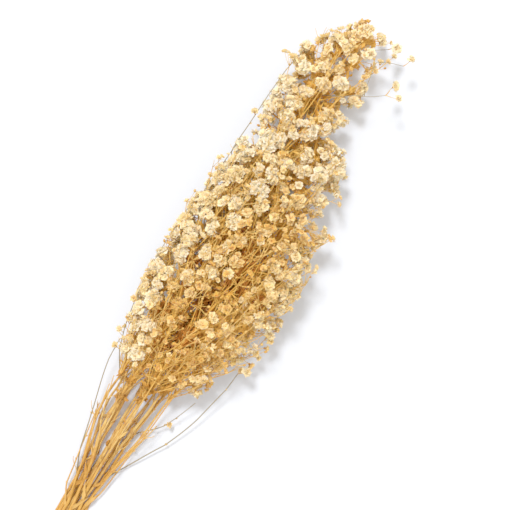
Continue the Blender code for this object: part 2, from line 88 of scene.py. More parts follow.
# One row for each stem: its place in the pile of cut ends (column, row), its lane in the head (across and
# up, each from -1 to 1 of the outline's half width and half thickness), how far along its tip is, and its
# diameter at the cut, in millimetres.
STEMS = (
    ((-2.0, 0), (-0.62, -0.50), 318, 3.1),
    ((-1.0, 0), (-0.30, -0.60), 402, 2.8),
    ((0.0, 0), (0.00, -0.58), 432, 3.4),
    ((1.0, 0), (0.34, -0.55), 352, 3.1),
    ((2.0, 0), (0.60, -0.48), 286, 3.2),
    ((-1.5, 1), (-0.26, 0.00), 452, 3.5),
    ((-0.5, 1), (0.14, 0.02), 414, 2.8),
    ((0.5, 1), (0.50, 0.10), 366, 3.4),
    ((1.5, 1), (0.82, 0.00), 292, 3.2),
    ((-1.0, 2), (-0.76, 0.25), 352, 3.1),
    ((0.0, 2), (-0.40, 0.55), 446, 3.5),
    ((1.0, 2), (0.16, 0.58), 470, 3.0),
)
PILE_STEP = 5.2 * MM
PILE_ROW_RISE = 2.7 * MM
PILE_LENGTH = 16 * MM  # the stretch at the cut ends where the stems lie straight
LONGEST_STUB = 5 * MM  # the stems' cut ends are uneven by this much
STEM_SIDES = 6
FLAT_SIDE = np.cos(np.pi / STEM_SIDES)  # middle of a six-sided stem's flat side, as a share of its radius
TIP_THICKNESS = 0.38  # of a stem's tip, as a share of its cut end
STATION_STEP = 40 * MM
KINK = 1.1 * MM  # the most that a stem leans aside at its joints
JOINT_SPACING = 41 * MM
JOINT_SWELLING = 1.22
BETWEEN_STEMS = 0.2 * MM
CLEARANCE = 0.4 * MM  # between what grows on different stems

# The blooms stand in small domes, called cymes, each on the end of a twig: up to three blooms round one
# in the middle. Each bloom here is larger than life and fills the place of three or four real ones.
FIRST_BLOOM = 140 * MM
BLOOM_SPACING = 11.5 * MM
BLOOM_DEPTHS = MM * np.array([4.5, 9.0])  # below the outline
LARGEST_BLOOM = 8.0 * MM
SMALLEST_BLOOM = 3.0 * MM
LONE_BLOOM = 5.0 * MM  # the largest on the twigs that stand out
LONE_STALK = 7.5 * MM
FOOT_SPACING = 17 * MM  # a foot is the point from which a cyme's stalks spread
FOOT_DEPTHS = MM * np.array([13, 18])
STALK_LENGTHS = MM * np.array([6.5, 22])
STALK_RADIUS = 0.48 * MM
MOST_IN_CYME = 4
SHARING = 2.0 * MM  # how much nearer a stem has to be to a foot for each twig more that it has
TWIG_RADIUS = 0.78 * MM
TWIG_END_RADIUS = 0.6 * MM
LONGEST_TWIG = 95 * MM
STEM_DEPTH = 17 * MM  # of the stems' lanes below the outline, within the head
BARE_TOP = MM * np.array([(-14, 100, 34), (15, 192, 90)])  # corners of the space where twigs show bare

# Twigs that stand out of the head where the photograph shows them: the stem that carries each, how far
# along it leaves that stem, its corners (x, y, z) in millimetres in the outline's frame, and its blooms.
LONE_TWIGS = (
    (4, 34, ((27, 60, 5), (41, 85, 7), (52, 118, 12), (61, 155, 20), (62, 172, 25)), 1),
    (0, 20, ((-21, 45, 9), (-29, 76, 13), (-39, 125, 20), (-40, 145, 26)), 1),
    (11, 410, ((31, 429, 42), (46, 440, 38)), 2),
    (11, 440, ((24, 460, 40), (46, 469, 38)), 1),
    (5, 430, ((8, 462, 24), (28, 477, 24)), 1),
)

# Blooms that the photograph shows at the edge of the head: their places in millimetres, as above.
EDGE_BLOOMS = (
    (67, 217, 36),
    (64, 238, 42),
    (64, 262, 34),
    (62, 283, 38),
    (63, 308, 34),
    (49, 352, 32),
    (27, 403, 26),
    (28, 424, 27),
    (23, 453, 24),
    (40, 156, 30),
    (56, 184, 34),
    (-34, 442, 24),
    (-34, 408, 28),
    (-46, 250, 36),
    (-45, 228, 34),
    (-44, 205, 36),
    (-41, 285, 34),
    (-37, 147, 30),
)

# Narrow dry leaves at the lower joints: the stem, how far along, which side, and the length.
LEAVES = (
    (0, 76, -1, 17),
    (1, 52, 1, 14),
    (3, 92, 1, 19),
    (5, 58, -1, 15),
    (6, 118, 1, 20),
    (7, 62, 1, 16),
    (9, 84, -1, 14),
    (10, 110, -1, 20),
    (11, 74, 1, 18),
)
LEAF_HALF_WIDTH = 1.3 * MM
SEED = 22

# The fine detail.
STEM_RING_STEP = 3.0 * MM
STEM_DETAIL = 16  # points round a main stem
COLLAR_LENGTH = 2.2 * MM
COLLAR_SWELLING = 0.34
TWIG_RING_STEP = 3.0 * MM
SHARP = 0.3  # the ease of a line that bends sharply at its joints
ROOT_SWELLING = 0.35  # of thin wood, as a share of its radius
ROOT_LENGTH = 0.06  # of this swelling, as a share of the twig's length
LEAF_CRUMPLE = 0.12  # as a share of a leaf's half width
RIBS = 5
RIB_HEIGHT = 0.05  # as a share of the stem's radius
STEM_SWAY = 0.35 * MM
STEM_UNEVENNESS = 0.05 * MM
CUT_LENGTH = 7 * MM  # the stretch over which the rings lean towards the slanting cut
CUT_SLANT = 1.1 * MM
BUD_RADII = MM * np.array([0.8, 1.35])
WITHERED_RADII = MM * np.array([2.5, 3.8])
WITHERED_SHARE = 0.52  # of an umbel's stalks
FLORET_RADII = MM * np.array([3.5, 5.2])
CLUSTER_SPREAD = 4.3 * MM
SPIRAL_TURN = 137.5  # degrees from one floret of a cluster to the next
CLUSTER_SHARES = (0.25, 0.6, 1.0, 1.4)  # how full a cluster may be
LEFT_CHANCES = (0.06, 0.1, 0.42, 0.42)  # of each of these, left of the next
LEFT_END = 12 * MM
RIGHT_CHANCES = (0.2, 0.24, 0.32, 0.24)
HALF_OPEN_SHARE = 0.2
SPACINGS = (0.56, 0.74)  # of florets in one cluster and of others, as shares of their radii's sum
FLORET_PUSHES = 14  # rounds in which florets that lie too close are pushed apart
UNDER_TWIGS = 19  # on each stem
OVER_TWIGS = 12
LOW_SHOOTS = 1
CLUMP_LEAVES = 34
NEST_STALKS = 18
STAR_STALKS = 13
STAR_DEPTH = 11 * MM  # of a bare umbel's foot below the top of the head
WHOLE_TURN = 6.28  # radians
ALONG = np.array([0.0, 1.0, 0.0])  # from the cut ends to the flower tips
LOWEST = MM * np.array([-53.6, -45, 0])  # corners of the space that all points keep to
HIGHEST = MM * np.array([74.6, 492, 73.2])

# Thin wood: its radii where it starts and where it ends.
HAIR_RADII = MM * np.array([0.3, 0.22])
BLOOM_STALK_RADII = MM * np.array([0.42, 0.34])
SIDE_TWIG_RADII = MM * np.array([0.36, 0.28])
FINE_TWIG_RADII = MM * np.array([0.5, 0.3])
SHOOT_TWIG_RADII = MM * np.array([0.42, 0.26])
STUB_RADII = MM * np.array([0.8, 0.62])
NEST_RADII = MM * np.array([0.36, 0.24])
STAR_RADII = MM * np.array([0.5, 0.42])
TIP_STALK_RADII = MM * np.array([0.3, 0.25])

# A calyx and a closed bud: heights and radii as shares of the floret's or the bud's radius.
CALYX = ((-0.55, 0.10), (-0.25, 0.27), (0.1, 0.33))
BUD = ((0, 0.45), (0.8, 1.0), (1.6, 0.85), (2.3, 0.3))

# The petals of a floret, from its outer layer in: how many, their tilt from its axis in degrees, their
# length and half width as shares of its radius, and by how many degrees they bend outward.
LAYERS = (
    (5, 94, 1.0, 0.64, 6),
    (4, 64, 0.96, 0.66, -16),
    (3, 30, 0.92, 0.6, -26),
)
WITHERED_LAYERS = (
    (5, 84, 1.0, 0.62, -10),
    (4, 44, 0.92, 0.60, -34),
)
PETAL_ROWS = (0.1, 0.58, 1.0)  # how far along a petal its rows of points lie
PETAL_WIDTHS = (0.34, 1.0, 0.82)  # at these rows, as shares of the widest
PETAL_NOTCH, PETAL_CORNERS = 0.84, 0.9  # how far its tip reaches in its middle and at its corners
PETAL_CRUMPLE, PETAL_UNEVENNESS = 0.075, 0.06  # off the petal and within it, as shares of the radius

# Clumps of crumpled brown leaves round lower joints: the stem, how far along, and their reach, in
# millimetres.
DRY_CLUMPS = (
    (11, 124, 12),
    (11, 112, 9),
    (11, 134, 9),
    (10, 104, 11),
    (10, 121, 9),
    (6, 118, 11),
    (7, 128, 9),
    (2, 60, 5),
    (9, 30, 4),
)

# Thin stalks along the edges: the stem that carries each, how far along it leaves that stem, its radius,
# its fineness (-1 for a grey wire), its corners, and the florets on it, all in millimetres.
EDGE_STALKS = (
    (
        0,
        112,
        0.5,
        -1.0,
        ((-36, 138, 26), (-42, 158, 31), (-46, 186, 36), (-48.5, 218, 38), (-49, 250, 38), (-47, 283, 38)),
        ((-40, 139, 28), (-44, 153, 31), (-42, 165, 34), (-47, 182, 37)),
    ),
    (9, 262, 0.5, -1.0, ((-44, 292, 36), (-42, 318, 37), (-40, 345, 36)), ((-46, 305, 36),)),
    (
        10,
        300,
        0.5,
        -1.0,
        ((-41, 332, 35), (-40, 360, 34), (-39.5, 392, 31), (-38, 416, 29), (-33, 441, 27)),
        ((-42, 371, 34), (-39, 428, 30)),
    ),
    (4, 78, 0.5, -1.0, ((31, 99, 9), (37, 110, 11), (44, 131, 18)), ((34, 102, 10),)),
    (
        8,
        138,
        0.45,
        0.4,
        ((50, 172, 24), (62, 190, 27), (67, 212, 29)),
        (
            (62, 176, 24),
            (67, 184, 22),
            (70, 193, 27),
            (66, 195, 32),
            (71, 203, 24),
            (70.5, 211, 31),
            (71, 221, 28),
            (66, 223, 34),
        ),
    ),
    (
        11,
        408,
        0.4,
        0.4,
        ((20, 428, 29), (25, 446, 31), (31, 461, 30)),
        ((23, 444, 34), (28, 453, 34), (28, 463, 27), (33, 466, 33), (35, 473, 29), (27, 437, 28)),
    ),
    (9, -6, 0.75, 0.2, ((-15.5, 12, 7), (-19, 34, 9), (-22, 56, 10), (-27, 88, 15)), ()),
    (8, -2, 0.7, 0.2, ((14, 18, 6), (17.5, 42, 7), (20, 66, 8), (26, 96, 12)), ()),
)

# Broad straps of old leaf over the lower stems: the stem, how far along, the length and the turn to the
# side in degrees.
STRAPS = (
    (10, -6, 20, 24),
    (11, 6, 18, -22),
    (9, 14, 16, 30),
    (10, 26, 15, -28),
    (8, 2, 17, 18),
    (7, 20, 14, 32),
    (11, 66, 15, 20),
    (5, 44, 14, -30),
)

# Hollows on the upper side, where no florets cover the inside and it is painted with a dark brown shade:
# place and reach in millimetres.
HOLLOWS = (
    (8, 280, 9),
    (22, 262, 12),
    (22, 238, 11),
    (-20, 236, 8),
    (3, 206, 10),
    (-20, 188, 8),
    (8, 178, 10),
    (-9, 160, 8),
    (45, 235, 8),
    (-22, 304, 7),
    (-6, 132, 6),
    (-16, 214, 6),
)

# Gaps right through the tip of the head, where the floor shows: place from above and reach, in millimetres.
GAPS = ((-7, 445, 7), (17, 443, 7), (19, 471, 6), (-21, 371, 6), (24, 412, 6), (-33, 352, 5))


def shade(red, green, blue):
    """A colour given as it looks on a screen, from 0 to 255, as the linear values that a shader takes."""
    shares = np.array([red, green, blue]) / 255
    linear = np.where(shares <= 0.04045, shares / 12.92, ((shares + 0.055) / 1.055) ** 2.4)
    return (*linear.tolist(), 1.0)


STRAW = shade(238, 200, 112)
OCHRE = shade(216, 158, 58)
PALE_STRAW = shade(250, 212, 116)
STREAK = shade(190, 146, 92)
# Painted shade: the colour of wood and leaves deep inside the head.
INSIDE_SHADE_BROWN = shade(250, 186, 64)
# Painted shade: the dark brown under the hollows.
HOLLOW_SHADE_BROWN = shade(200, 112, 24)
WIRE_STRAW = shade(142, 126, 90)
JOINT_BROWN = shade(172, 108, 44)
PITH = shade(250, 228, 180)
LEAF_STRAW = shade(240, 198, 106)
LEAF_BROWN = shade(196, 132, 42)
IVORY = shade(252, 237, 204)
BUTTER = shade(250, 220, 150)
THROAT = shade(252, 214, 132)
TOASTED = shade(238, 190, 112)
# Painted shade: the colour of florets deep inside the head.
INSIDE_SHADE_GOLD = shade(252, 198, 78)
WITHERED_GOLD = shade(236, 178, 68)
FLOOR_WHITE = (0.71, 0.748, 0.83, 1.0)
WOOD, LEAF, PETAL = 0, 1, 2  # the finishes' places in a piece's list
# The hollows' dark brown is painted shade, which sets in between these depths.
HOLLOW_DEPTHS = (0.85, 1.3)  # the depths in the head between which the colour of the hollows sets in
COLOUR, VALUE, VECTOR = "NodeSocketColor", "NodeSocketFloat", "NodeSocketVector"

# The light and the view, in the finished frame: the view's width, middle and level in metres, and its turn
# in degrees.
KEY_FROM = (-0.34, 0.30, 0.89)
KEY_STRENGTH = 2.6
KEY_SIZE = 12  # degrees
ROOM_STRENGTH = 1.02
ROOM_COLOUR = (1.0, 0.965, 0.895, 1.0)
VIEW_WIDTH = 0.4335
VIEW_CENTRE = (0.0113, 0.0444)
VIEW_LEVEL = 0.035
VIEW_TURN = 31.3
FOCAL_LENGTH = 100  # millimetres, as is the next
SENSOR_WIDTH = 36
FLOOR_REACH = 3.0
EXPOSURE = -0.18
GAMMA = 1.42


@dataclass
class Spray:
    """A twig, from its root inside what it grows from to its foot, and the heads of the blooms there.

    Its cyme faces one way. A lone spray stands out of the head of the bunch.
    """

    points: np.ndarray
    radii: np.ndarray
    facing: np.ndarray
    owner: int
    run: int
    lone: bool = False
    heads: list = field(default_factory=list)

    @property
    def foot(self):
        """The point from which the cyme's stalks spread."""
        return self.points[-1]


@dataclass
class Fork:
    """A joint where a twig may start: its place, the way that its carrier runs there, and its radius."""

    place: np.ndarray
    ahead: np.ndarray
    radius: float
    run: int
    free: int = 3


@dataclass
class Stem:
    """One cut stem with all that grows on it. The plain radii are those without swellings."""

    points: np.ndarray
    radii: np.ndarray
    plain_radii: np.ndarray
    joints: np.ndarray
    sprays: list = field(default_factory=list)
    leaves: list = field(default_factory=list)
    forks: list = field(default_factory=list)


def unit(vector):
    """A vector divided by its length."""
    return vector / np.linalg.norm(vector)


def units(vectors):
    """Each vector of an array divided by its length."""
    return vectors / np.maximum(np.linalg.norm(vectors, axis=-1, keepdims=True), 1e-12)


def smooth_step(value, low, high):
    """0 up to low, 1 from high on, and between them three t squared less two t cubed."""
    t = np.clip((value - low) / (high - low), 0, 1)
    return t * t * (3 - 2 * t)


def outline_at(y):
    """Middle, half width and half thickness of the bunch at y."""
    left, right, thickness = (np.interp(y, OUTLINE[:, 0], OUTLINE[:, k]) for k in (1, 2, 3))
    return (right - left) / 2, (left + right) / 2, thickness / 2


def segment_distances(start, end, starts, ends):
    """Least distance from each of m straight pieces to each of n others, as an m by n array."""
    one, two = (end - start)[:, None], (ends - starts)[None]
    between = start[:, None] - starts[None]
    a = np.maximum((one * one).sum(-1), 1e-12)
    e = np.maximum((two * two).sum(-1), 1e-12)
    b, c, f = (one * two).sum(-1), (one * between).sum(-1), (two * between).sum(-1)
    s = np.clip((b * f - c * e) / np.maximum(a * e - b * b, 1e-16), 0, 1)
    t = np.clip((b * s + f) / e, 0, 1)
    s = np.clip((b * t - c) / a, 0, 1)
    return np.linalg.norm(between + s[..., None] * one - t[..., None] * two, axis=-1)


def lengthwise(points):
    """How far along a line of points each of them lies."""
    return np.concatenate([[0], np.cumsum(np.linalg.norm(np.diff(points, axis=0), axis=1))])


def beyond(points, distance):
    """What is left of a line of points past a distance along it."""
    along = lengthwise(points)
    if distance >= along[-1]:
        return points[-1:]
    start = [np.interp(distance, along, points[:, k]) for k in range(3)]
    return np.vstack([start, points[along > distance]])


class Thicket:
    """All that has grown, as round-ended rods, so that new growth can keep clear of it.

    Each rod knows its owner, the stem that it grows on, and its run, the stretch of stem or twig.
    """

    def __init__(self):
        self.starts, self.ends = np.zeros((0, 3)), np.zeros((0, 3))
        self.radii = np.zeros(0)
        self.owners, self.runs = np.zeros(0, int), np.zeros(0, int)

    def new_run(self):
        """The number of the next stretch of stem or twig."""
        return int(self.runs.max(initial=-1)) + 1

    def add(self, points, radius, owner, run):
        """Adds a rod between every two points that follow each other."""
        count = len(points) - 1
        self.starts = np.vstack([self.starts, points[:-1]])
        self.ends = np.vstack([self.ends, points[1:]])
        self.radii = np.append(self.radii, np.full(count, radius))
        self.owners = np.append(self.owners, np.full(count, owner))
        self.runs = np.append(self.runs, np.full(count, run))

    def room(self, points, passed_over=None):
        """The largest radius that a rod through points may have beside those that aren't passed over."""
        counted = np.full(len(self.radii), True) if passed_over is None else ~passed_over
        if len(points) < 2 or not counted.any():
            return np.inf
        gaps = segment_distances(points[:-1], points[1:], self.starts[counted], self.ends[counted])
        return float((gaps - self.radii[counted]).min()) - CLEARANCE


def stem_paths(rng):
    """The stems' middle lines, from the pile into the lanes, pushed apart wherever two would touch.

    All stems share their stations along Y, so a pair's clearance is a distance in each cross-section.
    """
    last = max(tip for _, _, tip, _ in STEMS) * MM
    stations = np.arange(-STATION_STEP, last + STATION_STEP, STATION_STEP / 2)
    stations = np.sort(np.append(stations, -STATION_STEP + PILE_LENGTH))
    radii = np.array([diameter for _, _, _, diameter in STEMS]) * MM / 2
    paths = np.zeros((len(STEMS), len(stations), 2))
    middle, half_width, half_thickness = outline_at(stations)
    for i, ((column, row), (across, up), _, _) in enumerate(STEMS):
        pile_x, pile_z = column * PILE_STEP, radii[i] * FLAT_SIDE + row * PILE_ROW_RISE
        phase = rng.uniform(0, 2 * np.pi)
        sway = 1.6 * MM * np.sin(stations / (38 * MM) + phase) * smooth_step(stations, 60 * MM, 200 * MM)
        sway += KINK * np.cos(np.pi * stations / JOINT_SPACING + phase) * smooth_step(stations, 0, 70 * MM)
        depth = STEM_DEPTH * smooth_step(stations, 90 * MM, 200 * MM)
        lane_x = middle + across * np.maximum(half_width - depth, half_width * 0.4) + sway
        lane_z = half_thickness + up * np.maximum(half_thickness - depth, half_thickness * 0.3)
        spread = smooth_step(stations, -STATION_STEP + PILE_LENGTH, 75 * MM)
        lift = smooth_step(stations, 0, 165 * MM)
        paths[i, :, 0] = pile_x + (lane_x - pile_x) * spread
        paths[i, :, 1] = pile_z + (lane_z - pile_z) * lift
    in_pile = stations <= -STATION_STEP + PILE_LENGTH
    wanted = radii[:, None] + radii[None, :] + BETWEEN_STEMS + KINK
    np.fill_diagonal(wanted, 0)
    for _ in range(80):
        gap = paths[:, None] - paths[None, :]
        distance = np.linalg.norm(gap, axis=-1)
        short = np.where(in_pile, 0, np.clip(wanted[:, :, None] - distance, 0, None))
        away = gap / np.maximum(distance, 1e-6)[..., None]
        paths += 0.4 * (away * short[..., None]).sum(1)
        paths[:, :, 1] = np.maximum(paths[:, :, 1], radii[:, None] * FLAT_SIDE)
    return stations, paths, radii


def bare_stems(rng):
    """The stems without twigs, from their cut ends to their tips, with a swelling at every joint."""
    stations, paths, radii = stem_paths(rng)
    stems = []
    for i, (_, _, tip, _) in enumerate(STEMS):
        tip = tip * MM
        cut = -STATION_STEP - rng.uniform(0, LONGEST_STUB)
        joints = np.arange(28 * MM + rng.uniform(0, 22 * MM), tip - 15 * MM, JOINT_SPACING)
        between = (joints[:3] + joints[1:4]) / 2
        along = [[cut, -STATION_STEP + PILE_LENGTH, 0, STATION_STEP / 2], joints, between, [tip]]
        along = np.sort(np.concatenate(along))
        x, z = (np.interp(along, stations, paths[i, :, k]) for k in (0, 1))
        thinning = 1 - (1 - TIP_THICKNESS) * np.clip(along / tip, 0, 1)
        swelling = np.where(np.isin(along, joints), JOINT_SWELLING, 1.0)
        thickness = radii[i] * thinning * swelling
        points = np.stack([x, along, np.maximum(z, thickness * FLAT_SIDE)], 1)
        stems.append(Stem(points, thickness, radii[i] * thinning, joints))
    return stems


def spokes(direction, count, turn):
    """Unit vectors square to a direction, evenly turned about it."""
    across, up = around(direction)
    angles = turn + 2 * np.pi * np.arange(count) / count
    return np.cos(angles)[:, None] * across + np.sin(angles)[:, None] * up


def forks_of(points, radii, run, first):
    """Forks at a line's inner points, from the first one given on."""
    return [
        Fork(points[k], unit(points[k + 1] - points[k]), float(radii[k]), run)
        for k in range(first, len(points) - 1)
    ]


def around(direction):
    """Two unit vectors square to a direction and to each other; the second is the upper one."""
    across = unit(np.cross((0.0, 0.0, 1.0) if abs(direction[2]) < 0.9 else (0.0, 1.0, 0.0), direction))
    return across, np.cross(direction, across)


def bent_path(start, leaving, end, arriving):
    """A cubic curve of few points from start to end that leaves and arrives in the given directions."""
    length = np.linalg.norm(end - start)
    count = 2 if length < 16 * MM else 3 if length < 36 * MM else 4
    t = np.linspace(0, 1, count)[:, None]
    near, far = start + leaving * length * 0.35, end - arriving * length * 0.3
    return (1 - t) ** 3 * start + 3 * (1 - t) ** 2 * t * near + 3 * (1 - t) * t**2 * far + t**3 * end


def add_spray(stem, owner, points, facing, root_radius, thicket):
    """Adds a twig through points, with the forks along it."""
    run = thicket.new_run()
    radii = np.linspace(min(TWIG_RADIUS, root_radius), TWIG_END_RADIUS, len(points))
    stem.sprays.append(Spray(points, radii, facing, owner, run))
    stem.forks += forks_of(points, radii, run, 1)
    thicket.add(beyond(points, root_radius), TWIG_RADIUS, owner, run)


def grow_spray(stem, owner, foot, facing, thicket):
    """Grows a twig to a foot from the stem's best fork: near by, and bending forward only a little."""
    scored = []
    for fork in stem.forks:
        run = foot - fork.place
        length = np.linalg.norm(run)
        angle = np.degrees(np.arccos(np.clip(fork.ahead @ run / length, -1, 1)))
        if fork.free and 7 * MM < length < LONGEST_TWIG and 8 < angle < 62:
            scored.append((length * (1 + (angle / 38) ** 2), fork))
    for _, fork in sorted(scored, key=lambda found: found[0])[:6]:
        for pull in (0.9, 0.3):
            leaving = unit(fork.ahead * pull + unit(foot - fork.place))
            points = bent_path(fork.place, leaving, foot, facing)
            points[1:, 2] = np.maximum(points[1:, 2], TWIG_RADIUS)
            own_stem, own_run = thicket.owners == owner, thicket.runs == fork.run
            room_beside_others = thicket.room(beyond(points, fork.radius), own_stem)
            if min(room_beside_others, thicket.room(beyond(points, 8 * MM), own_run)) > TWIG_RADIUS:
                fork.free -= 1
                add_spray(stem, owner, points, facing, fork.radius * 0.9, thicket)
                return True
    return False


def points_in_head(rng, depths, spacing, draws, first):
    """Points drawn at a depth below the outline, a spacing apart, and the way out of the head at each."""
    points, ways = np.zeros((0, 3)), np.zeros((0, 3))
    for _ in range(draws):
        y = rng.uniform(first, OUTLINE[-1, 0] - 3 * MM)
        angle, depth = rng.uniform(0, 2 * np.pi), rng.uniform(*depths)
        middle, half_width, half_thickness = outline_at(y)
        across = max(half_width - depth, half_width * 0.25) * np.cos(angle)
        up = max(half_thickness - depth, half_thickness * 0.25) * np.sin(angle)
        point = np.array([middle + across, y, half_thickness + up])
        is_bare = bool((point > BARE_TOP[0]).all() and (point < BARE_TOP[1]).all())
        if not is_bare and (np.linalg.norm(points - point, axis=1) > spacing).all():
            points = np.vstack([points, point])
            ways = np.vstack([ways, unit(np.array([across / half_width, 0.5, up / half_thickness + 0.1]))])
    return points, ways


def grow_bloom(spray, head, largest, thicket):
    """Sets a bloom on a cyme, as large as fits there, unless that is too small."""
    foot = spray.foot
    body = np.array([head, head + (head - foot) * 0.01])
    stalk = foot + (head - foot) * np.array([[0.2], [0.5], [0.9]])
    own_stem, own_run = thicket.owners == spray.owner, thicket.runs == spray.run
    room = min(thicket.room(stalk, own_stem), thicket.room(stalk[1:], ~own_run))
    radius = min(largest, thicket.room(body))
    if room > STALK_RADIUS and radius > SMALLEST_BLOOM:
        spray.heads.append(head)
        thicket.add(stalk, STALK_RADIUS, spray.owner, spray.run)
        thicket.add(body, radius, spray.owner, spray.run)


def fill_cyme(spray, heads, most, thicket, rng):
    """Turns the cyme to suit its heads and sets a bloom at each: first at the one that lies straightest
    ahead, if it is in the middle, then at the others in their order round it."""
    directions = units(heads - spray.foot)
    spray.facing = unit(unit(directions.sum(0)) + 0.8 * unit(spray.foot - spray.points[-2]))
    across, up = around(spray.facing)
    angles = np.arctan2(directions @ up, directions @ across)
    order = list(np.argsort(-(directions @ spray.facing)))
    middle = []
    if len(order) == MOST_IN_CYME or directions[order[0]] @ spray.facing > 0.9:
        middle.append(order.pop(0))
    if order:
        first = angles[order[0]]
        order.sort(key=lambda k: (angles[k] - first + 1e-6) % (2 * np.pi))
    for k in middle + order:
        largest = most * rng.uniform(0.82, 1.0)
        rng.integers(1 << 30)  # the solids draw the turn of each bloom's facets here
        grow_bloom(spray, heads[k], largest, thicket)


def fill_head(stems, thicket, rng):
    """Draws the blooms' places and gives each to the nearest foot that has a place left for it."""
    heads, _ = points_in_head(rng, BLOOM_DEPTHS, BLOOM_SPACING, 9000, FIRST_BLOOM)
    at_edge = MM * np.array(EDGE_BLOOMS, float)
    is_clear = np.linalg.norm(heads[:, None] - at_edge[None], axis=-1).min(1) > BLOOM_SPACING
    heads = np.vstack([at_edge, heads[is_clear]])
    sprays = [spray for stem in stems for spray in stem.sprays if not spray.heads]
    feet = np.array([spray.foot for spray in sprays])
    lengths = np.linalg.norm(heads[:, None] - feet[None], axis=-1)
    lengths[(lengths < STALK_LENGTHS[0]) | (lengths > STALK_LENGTHS[1])] = np.inf
    given = [[] for _ in sprays]
    for k in np.argsort(lengths.min(1)):
        for nearest in np.argsort(lengths[k])[:4]:
            if np.isfinite(lengths[k, nearest]) and len(given[nearest]) < MOST_IN_CYME:
                given[nearest].append(heads[k])
                break
    for spray, own in zip(sprays, given):
        if own:
            fill_cyme(spray, np.array(own), LARGEST_BLOOM, thicket, rng)


def on_stem(stem, y):
    """The stem's place at a distance along the bunch."""
    return np.array([np.interp(y, stem.points[:, 1], stem.points[:, k]) for k in range(3)])


def distances_to_stems(stems, place):
    """How far a place is from each stem's middle line, measured where a twig to it would start."""
    before = place[1] - 25 * MM
    found = []
    for stem in stems:
        at = on_stem(stem, before)
        found.append(np.hypot(place[0] - at[0], place[2] - at[2]) + abs(before - at[1]))
    return np.array(found)


def grow_lone_twigs(stems, thicket, rng):
    """The twigs that stand out, each from the fork nearest to where it leaves, with blooms at its end."""
    for owner, leaves_at, corners, count in LONE_TWIGS:
        stem = stems[owner]
        nearest = min(stem.forks, key=lambda fork: abs(fork.place[1] - leaves_at * MM))
        points = np.vstack([nearest.place, MM * np.array(corners, float)])
        facing = unit(points[-1] - points[-2])
        add_spray(stem, owner, points, facing, nearest.radius * 0.9, thicket)
        stem.sprays[-1].lone = True
        out = 0.9 * spokes(facing, 3, rng.uniform(0, 2 * np.pi))[:count] + facing
        fill_cyme(stem.sprays[-1], points[-1] + out * LONE_STALK, LONE_BLOOM, thicket, rng)


def grow_leaves(stems, thicket):
    """The leaves' middle lines: each leaves its joint forward and to its side, and curls up."""
    shape = np.array([(0, 0, 0), (0.14, 0.38, 0.10), (0.30, 0.72, 0.30), (0.34, 0.98, 0.52)])
    for owner, along, side, length in LEAVES:
        stem = stems[owner]
        nearest = min(stem.forks, key=lambda fork: abs(fork.place[1] - along * MM))
        line = nearest.place + shape * length * MM * np.array([side, 1, 1])
        outside = beyond(line, nearest.radius)
        if thicket.room(outside, thicket.owners == owner) > LEAF_HALF_WIDTH:
            stem.leaves.append(line)
            thicket.add(outside, LEAF_HALF_WIDTH, owner, thicket.new_run())


def grow():
    """The whole bunch, as a list of stems. Nothing of one stem comes nearer to another than CLEARANCE."""
    rng = np.random.default_rng(SEED)
    stems = bare_stems(rng)
    thicket = Thicket()
    for owner, stem in enumerate(stems):
        thicket.add(stem.points, float(stem.radii.max()), owner, owner)
        stem.forks = forks_of(stem.points, stem.radii, owner, 3)
    grow_leaves(stems, thicket)
    grow_lone_twigs(stems, thicket, rng)
    for owner, stem in enumerate(stems):
        ahead = unit(stem.points[-1] - stem.points[-2])
        points = np.array([stem.points[-1] - ahead * 2 * MM, stem.points[-1] + ahead * 4 * MM])
        add_spray(stem, owner, points, ahead, stem.radii[-1], thicket)
    feet, ways = points_in_head(rng, FOOT_DEPTHS, FOOT_SPACING, 6000, FIRST_BLOOM)
    nearness = [distances_to_stems(stems, foot) for foot in feet]
    for k in np.argsort([distances.min() for distances in nearness]):
        laden = SHARING * np.array([len(stem.sprays) for stem in stems])
        for owner in np.argsort(nearness[k] + laden)[:6]:
            if grow_spray(stems[owner], int(owner), feet[k], ways[k], thicket):
                break
    fill_head(stems, thicket, rng)
    return stems


def smooth_line(points, count, ease=1.0):
    """A line of count points through the given ones: between two of them it is the cubic that has at each
    the slope of the curve through its neighbours, times ease. The less ease, the sharper its bends."""
    knots = lengthwise(points)
    slopes = np.gradient(points, knots, axis=0)
    straight = np.diff(points, axis=0) / np.diff(knots)[:, None]
    along = np.linspace(0, knots[-1], count)
    piece = np.clip(np.searchsorted(knots, along, side="right") - 1, 0, len(points) - 2)
    span = (knots[piece + 1] - knots[piece])[:, None]
    t = (along - knots[piece])[:, None] / span
    near = ease * slopes[piece] + (1 - ease) * straight[piece]
    far = ease * slopes[piece + 1] + (1 - ease) * straight[piece]
    ahead = t * (1 - t) ** 2 * span * near - t**2 * (1 - t) * span * far
    return (1 + 2 * t) * (1 - t) ** 2 * points[piece] + t**2 * (3 - 2 * t) * points[piece + 1] + ahead


def square_to(ways):
    """Two unit vectors square to each way and to each other, so that the three are right-handed."""
    least = np.eye(3)[np.argmin(np.abs(ways), axis=-1)]
    across = units(np.cross(least, ways))
    return across, np.cross(ways, across)


def lifted(points, height):
    """Points with none of them lower than a height above the table."""
    return np.maximum(points, [-np.inf, -np.inf, height])


def held_inside(points, margin):
    """Points held a margin inside the corners of the space that all points keep to."""
    return np.clip(points, LOWEST + margin, HIGHEST - margin)


def within(points, circles, share=1.0):
    """Whether points, seen from above, lie in any of some circles, each given by its place and reach in
    millimetres, with the reach times share."""
    circles = np.array(circles)
    away = points[..., None, :2] / MM - circles[:, :2]
    return (np.linalg.norm(away, axis=-1) < share * circles[:, 2]).any(-1)


def rows_of(table, owner):
    """What the rows of a table that belong to one stem hold after the stem's number."""
    return [row[1:] for row in table if row[0] == owner]


